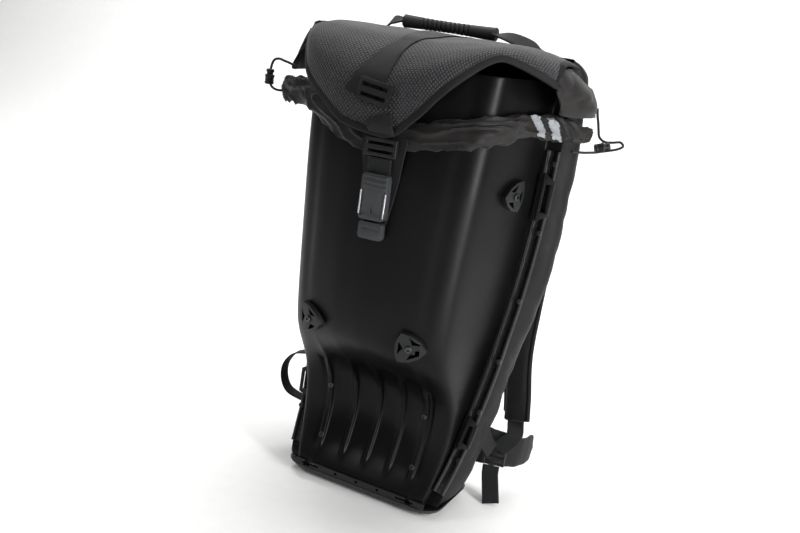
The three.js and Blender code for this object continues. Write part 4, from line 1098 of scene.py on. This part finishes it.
BUCKLE_X, WINDOW_Z = 9.2, 375
buckle_tree = tree_of("buckle_body")
tab_tree = tree_of("buckle_tab")
buckle = taken("buckle_body", "release_buckle")
window_front = front_of(buckle_tree, BUCKLE_X, WINDOW_Z)
bare()
bpy.ops.mesh.primitive_cylinder_add(
    vertices=4, radius=4 * MM, depth=2.4 * MM, location=Vector((BUCKLE_X, window_front, WINDOW_Z)) * MM,
    rotation=(math.pi / 2, 0, 0),
)
lozenge = bpy.context.object
lozenge.scale = (0.5, 1, 1)
bpy.ops.object.transform_apply(location=True, rotation=True, scale=True)
cut(buckle, lozenge)
groove_front = front_of(buckle_tree, BUCKLE_X, 380)
for x in (-2.6, 21.0):
    cut(buckle, boxed_in("groove", (x, groove_front, 381), (0.9, 1.6, 26), 0))
bevelled(buckle, 0.7, 38)
done(smooth(buckle, 35), "trim", buckle_plastic, "buckle_body")

for i, z in enumerate((411.0, 405.5, 400.0)):
    y = front_of(buckle_tree, -4.5, z)
    bar = boxed_in(f"buckle_grip_bar_{i + 1}", (BUCKLE_X, y, z), (27, 2.2, 2.6), 0.8)
    done(smooth(bar), "trim", buckle_plastic)
for side, x in (("left", -5.6), ("right", 24.0)):
    line = smooth_line([(x, front_of(buckle_tree, BUCKLE_X, z) + 0.6, z) for z in (395, 386, 377, 369)], 1.5)
    edge = drawn(f"buckle_edge_{side}", line, lambda t: round_section(1.0, 10), lambda t: (1, 0, 0))
    done(smooth(edge), "screw", bright_steel)

tab = taken("buckle_tab", "buckle_release_tab")
cut(tab, boxed_in("groove", (BUCKLE_X, front_of(tab_tree, BUCKLE_X, 352), 354), (20, 1.6, 1.2), 0))
bevelled(tab, 0.7, 38)
done(smooth(tab, 35), "trim", buckle_plastic, "buckle_tab")

rounded("tongue_pad", "tongue_backing", 0.9, strip_nylon, "nylon")
rounded("strap_slider", "three_bar_slider", 0.7)
rounded("ladder_lock", "hood_ladder_lock", 0.7)
flap_line = [(3.5, -158.2, 473.9), (7.3, -159.8, 464.5), (9.2, -154.5, 455)]
band("flap_strap", "front_strap", flap_line, 30, 1.6, lambda t: (1, 0, 0), step=1.5)
buckle_line = [(9, -153, 431.7), (9, -152.4, 423.5), (9.1, -151.8, 415.3)]
band("buckle_web", "buckle_strap", buckle_line, 29, 1.6, lambda t: (1, 0, 0), step=1.5)

# %% [markdown]
# ## Straps at the sides
# The shoulder straps end in webs that run through a lock at each side and leave a tail hanging to the floor.
# All are 22 mm webbing. A loop of narrower webbing stands out on the left. Each is a band drawn along its
# line, and the left side is the right one mirrored.

# %% Webs, tails and locks
web_rows = {
    "low_strap": ([(121.8, 6.2, 107), (125.7, 21.7, 80.3), (130.8, 34.7, 65.3)], (0.35, 1, 0)),
    "tail": ([(132.5, 37.2, 44.2), (133.4, 36, 32.7), (138.5, 31, 16.7), (145.4, 22.3, 0.9)], (1, 0.2, 0)),
    "strap_web": (
        [(138.5, 81.5, 104), (141.9, 78.7, 92.3), (148.5, 57.3, 81.6), (137.2, 39.9, 67.0)], (1, 0.2, 0),
    ),
}
names = {"low_strap": "side_web", "tail": "web_tail", "strap_web": "adjuster_web"}
for side, sign in SIDES:
    for node, (line, (x, y, z)) in web_rows.items():
        across = lambda t: (x, sign * y, z)
        band(f"{names[node]}_{side}", f"{node}_{side}", mirrored(sign, line), 21.5, 1.6, across)
    normal = Vector((0.2 * sign, -1, 0.25)).normalized()
    lock = boxed_in(f"web_lock_{side}", (0, 0, 0), (28.5, 18.5, 4.2), 0)
    for at in (-4.4, 4.4):
        cut(lock, boxed_in("window", (0, at, 0), (22.5, 4.2, 12), 0))
    bevelled(lock, 0.8, 40)
    seat = normal.to_track_quat("Z", "Y").to_matrix().to_4x4()
    lock.data.transform(Matrix.Translation(Vector((sign * 134.2, 38.4, 55.1)) * MM) @ seat)
    done(smooth(lock, 40), "trim", trim_plastic, f"side_lock_{side}")

loop_line = [
    (-121.4, 4.3, 130), (-136.8, -1.4, 130.5), (-149.6, -9.9, 126.3), (-158.5, -13.8, 111),
    (-158.5, -13.8, 92), (-150.5, -11.4, 76), (-135.1, -2.8, 66.3), (-118, 2.8, 62.1),
]
band("side_loop", "side_loop_left", loop_line, 17, 1.7, lambda t: (0, 1, 0))

# %% [markdown]
# ## Cord locks
# Each cord carries a spring lock: a barrel with a spring-loaded plunger in its top, ribbed for the fingers.
# The cord goes through it.

# %% Cord locks
lock_profile = [
    (0, 0), (4.6, 0), (5.4, 0.8), (5.6, 2.4), (4.9, 3.4), (5.6, 4.4), (4.9, 5.4), (5.6, 6.4), (4.9, 7.4),
    (5.8, 8.6), (5.8, 10.6), (5.2, 11.4), (3.9, 11.6), (3.9, 14.0), (4.7, 14.4), (4.9, 15.4), (4.7, 17.2),
    (3.6, 18.0), (0, 18.0),
]
lock_seats = {"left": ((-190, -80, 478), (0, 0, 1)), "right": ((181.4, 49.0, 463.4), (0.75, 0.45, 0.3))}
for side, (at, axis) in lock_seats.items():
    lock = turned(f"spring_lock_{side}", lock_profile, at, axis, steps=28)
    done(smooth(lock, 45), "trim", trim_plastic, f"cord_lock_{side}")
    line = smooth_line(cord_routes[side], CORD_STEP)

# %% [markdown]
# ## Padded pieces
# The back pads, the shoulder straps and the hip wings are foam in a knitted cover. Each solid is drawn in by
# 0.8 mm, remeshed evenly and blown up against its cover by a short cloth simulation, with no gravity. A cap
# on how far a point may move keeps it the size it is.

# %% Padding
PRESSURE, SHRINK, FRAMES = 4, 0.8, 20


def puffed(node, name, voxel, cap):
    obj = taken(node, name)
    moved(obj, lambda p, normal: -SHRINK * normal * MM)
    pick(obj)
    obj.data.remesh_voxel_size = voxel * MM
    bpy.ops.object.voxel_remesh()
    apply(obj, "SMOOTH", factor=0.5, iterations=4)
    before = [v.co.copy() for v in obj.data.vertices]
    cover = obj.modifiers.new("cover", "CLOTH")
    cover.settings.use_pressure = True
    cover.settings.uniform_pressure_force = PRESSURE
    cover.settings.effector_weights.gravity = 0
    for frame_number in range(1, FRAMES + 1):
        bpy.context.scene.frame_set(frame_number)
    blown = obj.evaluated_get(bpy.context.evaluated_depsgraph_get())
    after = [v.co.copy() for v in blown.to_mesh().vertices]
    obj.modifiers.remove(cover)
    for vertex, old, new in zip(obj.data.vertices, before, after):
        move = new - old
        vertex.co = old + (move if move.length < cap * MM else move.normalized() * cap * MM)
    bpy.context.scene.frame_set(1)
    subdivided(obj, 1)
    return done(smooth(boxed(obj), 70), "padding", pad_knit, node)


for side, _ in SIDES:
    puffed(f"shoulder_strap_{side}", f"padded_strap_{side}", 3.0, 2.0)
    puffed(f"hip_wing_{side}", f"padded_wing_{side}", 3.0, 2.0)
    puffed(f"back_pad_{side}", f"padded_back_{side}", 4.0, 2.5)
puffed("lumbar_pad", "padded_lumbar", 4.0, 2.5)

# %% [markdown]
# The straps and wings have sewn rims. The straps' edges are bound with folded tape, 6 mm wide.

# %% Edge tapes
strap_rows = [
    (44.5, 78.7, 497.6), (58.1, 108.5, 465.5), (80.4, 136.4, 406.6), (97.5, 139.5, 321), (106, 124, 240.8),
    (116.3, 106.6, 181.9), (133.4, 89.9, 128.4), (141.9, 79.4, 93.6),
]
STRAP_HALF, STRAP_TAPER, TAPE_INSET = 31, 0.35, 1.6
for side, sign in SIDES:
    line = smooth_line(mirrored(sign, strap_rows), 4.0)
    turned_in = lambda t: (1, -sign * 0.35 * step_up(t, 0.3, 0.9), 0)
    for edge, way in (("inner", -1), ("outer", 1)):
        places = []
        for i, p in enumerate(line):
            t = i / (len(line) - 1)
            half = STRAP_HALF * (1 - STRAP_TAPER * step_up(t, 0.55, 1)) - TAPE_INSET
            places.append(p + sign * way * Vector(turned_in(t)).normalized() * half)
        binding = drawn(
            f"strap_binding_{edge}_{side}", places[1:-2], lambda t: flat_section(6, 5.4, 0.3), turned_in
        )
        done(smooth(binding, 60), "nylon", strip_nylon)

# %% [markdown]
# ## Floor, backdrop and light
# A pale paper sweep: flat under the pack and curving up behind it, in a dim room, so that the shell mirrors
# little and stays black. A tall narrow light at the right draws the long highlight on the ridge, one above
# lights the paper and the hood, and one lights the paper behind.

# %% Studio
SWEEP_REACH, SWEEP_FLAT, SWEEP_BEND, SWEEP_TOP, FLOOR = 4.0, 1.2, 0.8, 3.2, -0.0024


def pale_sweep():
    """A sheet of paper in metres, flat as far as SWEEP_FLAT and then bent up into a wall."""
    profile = [(-SWEEP_REACH, 0), (-1.0, 0), (SWEEP_FLAT, 0)]
    for a in np.linspace(0.1, math.pi / 2, 14):
        profile.append((SWEEP_FLAT + SWEEP_BEND * math.sin(a), SWEEP_BEND - SWEEP_BEND * math.cos(a)))
    profile.append((SWEEP_FLAT + SWEEP_BEND, SWEEP_TOP))
    points = [Vector((x, y, z + FLOOR)) / MM for x in (-SWEEP_REACH, SWEEP_REACH) for y, z in profile]
    count = len(profile)
    faces = [(i, i + 1, count + i + 1, count + i) for i in range(count - 1)]
    sweep = mesh_piece("paper_sweep", points, faces, [[(0, 0)] * 4 for _ in faces])
    material, tree, shader = finish("pale_paper", "#f3f3f2", 0.9)
    vary(tree, shader, clouds(tree, 60.0, 4.0), "#efefee", "#f6f6f5", 0.86, 0.94)
    sweep.data.materials.append(material)
    smooth(sweep, 60)


pale_sweep()
bpy.context.scene.view_settings.view_transform = "Standard"
world = bpy.data.worlds.new("studio")
bpy.context.scene.world = world
world.use_nodes = True
room = world.node_tree.nodes["Background"]
room.inputs["Color"].default_value = (1, 1, 1, 1)
seen = add(world.node_tree, "ShaderNodeLightPath").outputs["Is Camera Ray"]
level = ranged(world.node_tree, seen, {"To Min": 0.16, "To Max": 1.0})
world.node_tree.links.new(level, room.inputs["Strength"])

# Each light's name, place, width and height, power in watts, and the point that it is aimed at.
soft_lights = [
    ("key", (-1.5, -1.6, 1.9), (0.7, 0.7), 14, (0, 0.1, 0.25)),
    ("right", (1.9, -0.2, 1.5), (0.9, 0.9), 9, (0, 0.1, 0.25)),
    ("top", (0.0, 0.5, 2.3), (1.4, 1.4), 40, (0, 0.1, 0.25)),
    ("ridge", (1.25, -0.5, 0.5), (0.22, 1.0), 19, (0.1, -0.1, 0.3)),
    ("paper", (-1.2, 0.4, 2.2), (1.0, 1.0), 42, (-1.7, 2.0, 0.8)),
]
for name, at, (width, height), power, target in soft_lights:
    data = bpy.data.lights.new(name, "AREA")
    data.shape = "RECTANGLE"
    data.size = width
    data.size_y = height
    data.energy = power
    light = linked(name, data)
    aim = Vector(target) - Vector(at)
    light.matrix_world = Matrix.Translation(at) @ aim.to_track_quat("-Z", "Y").to_matrix().to_4x4()
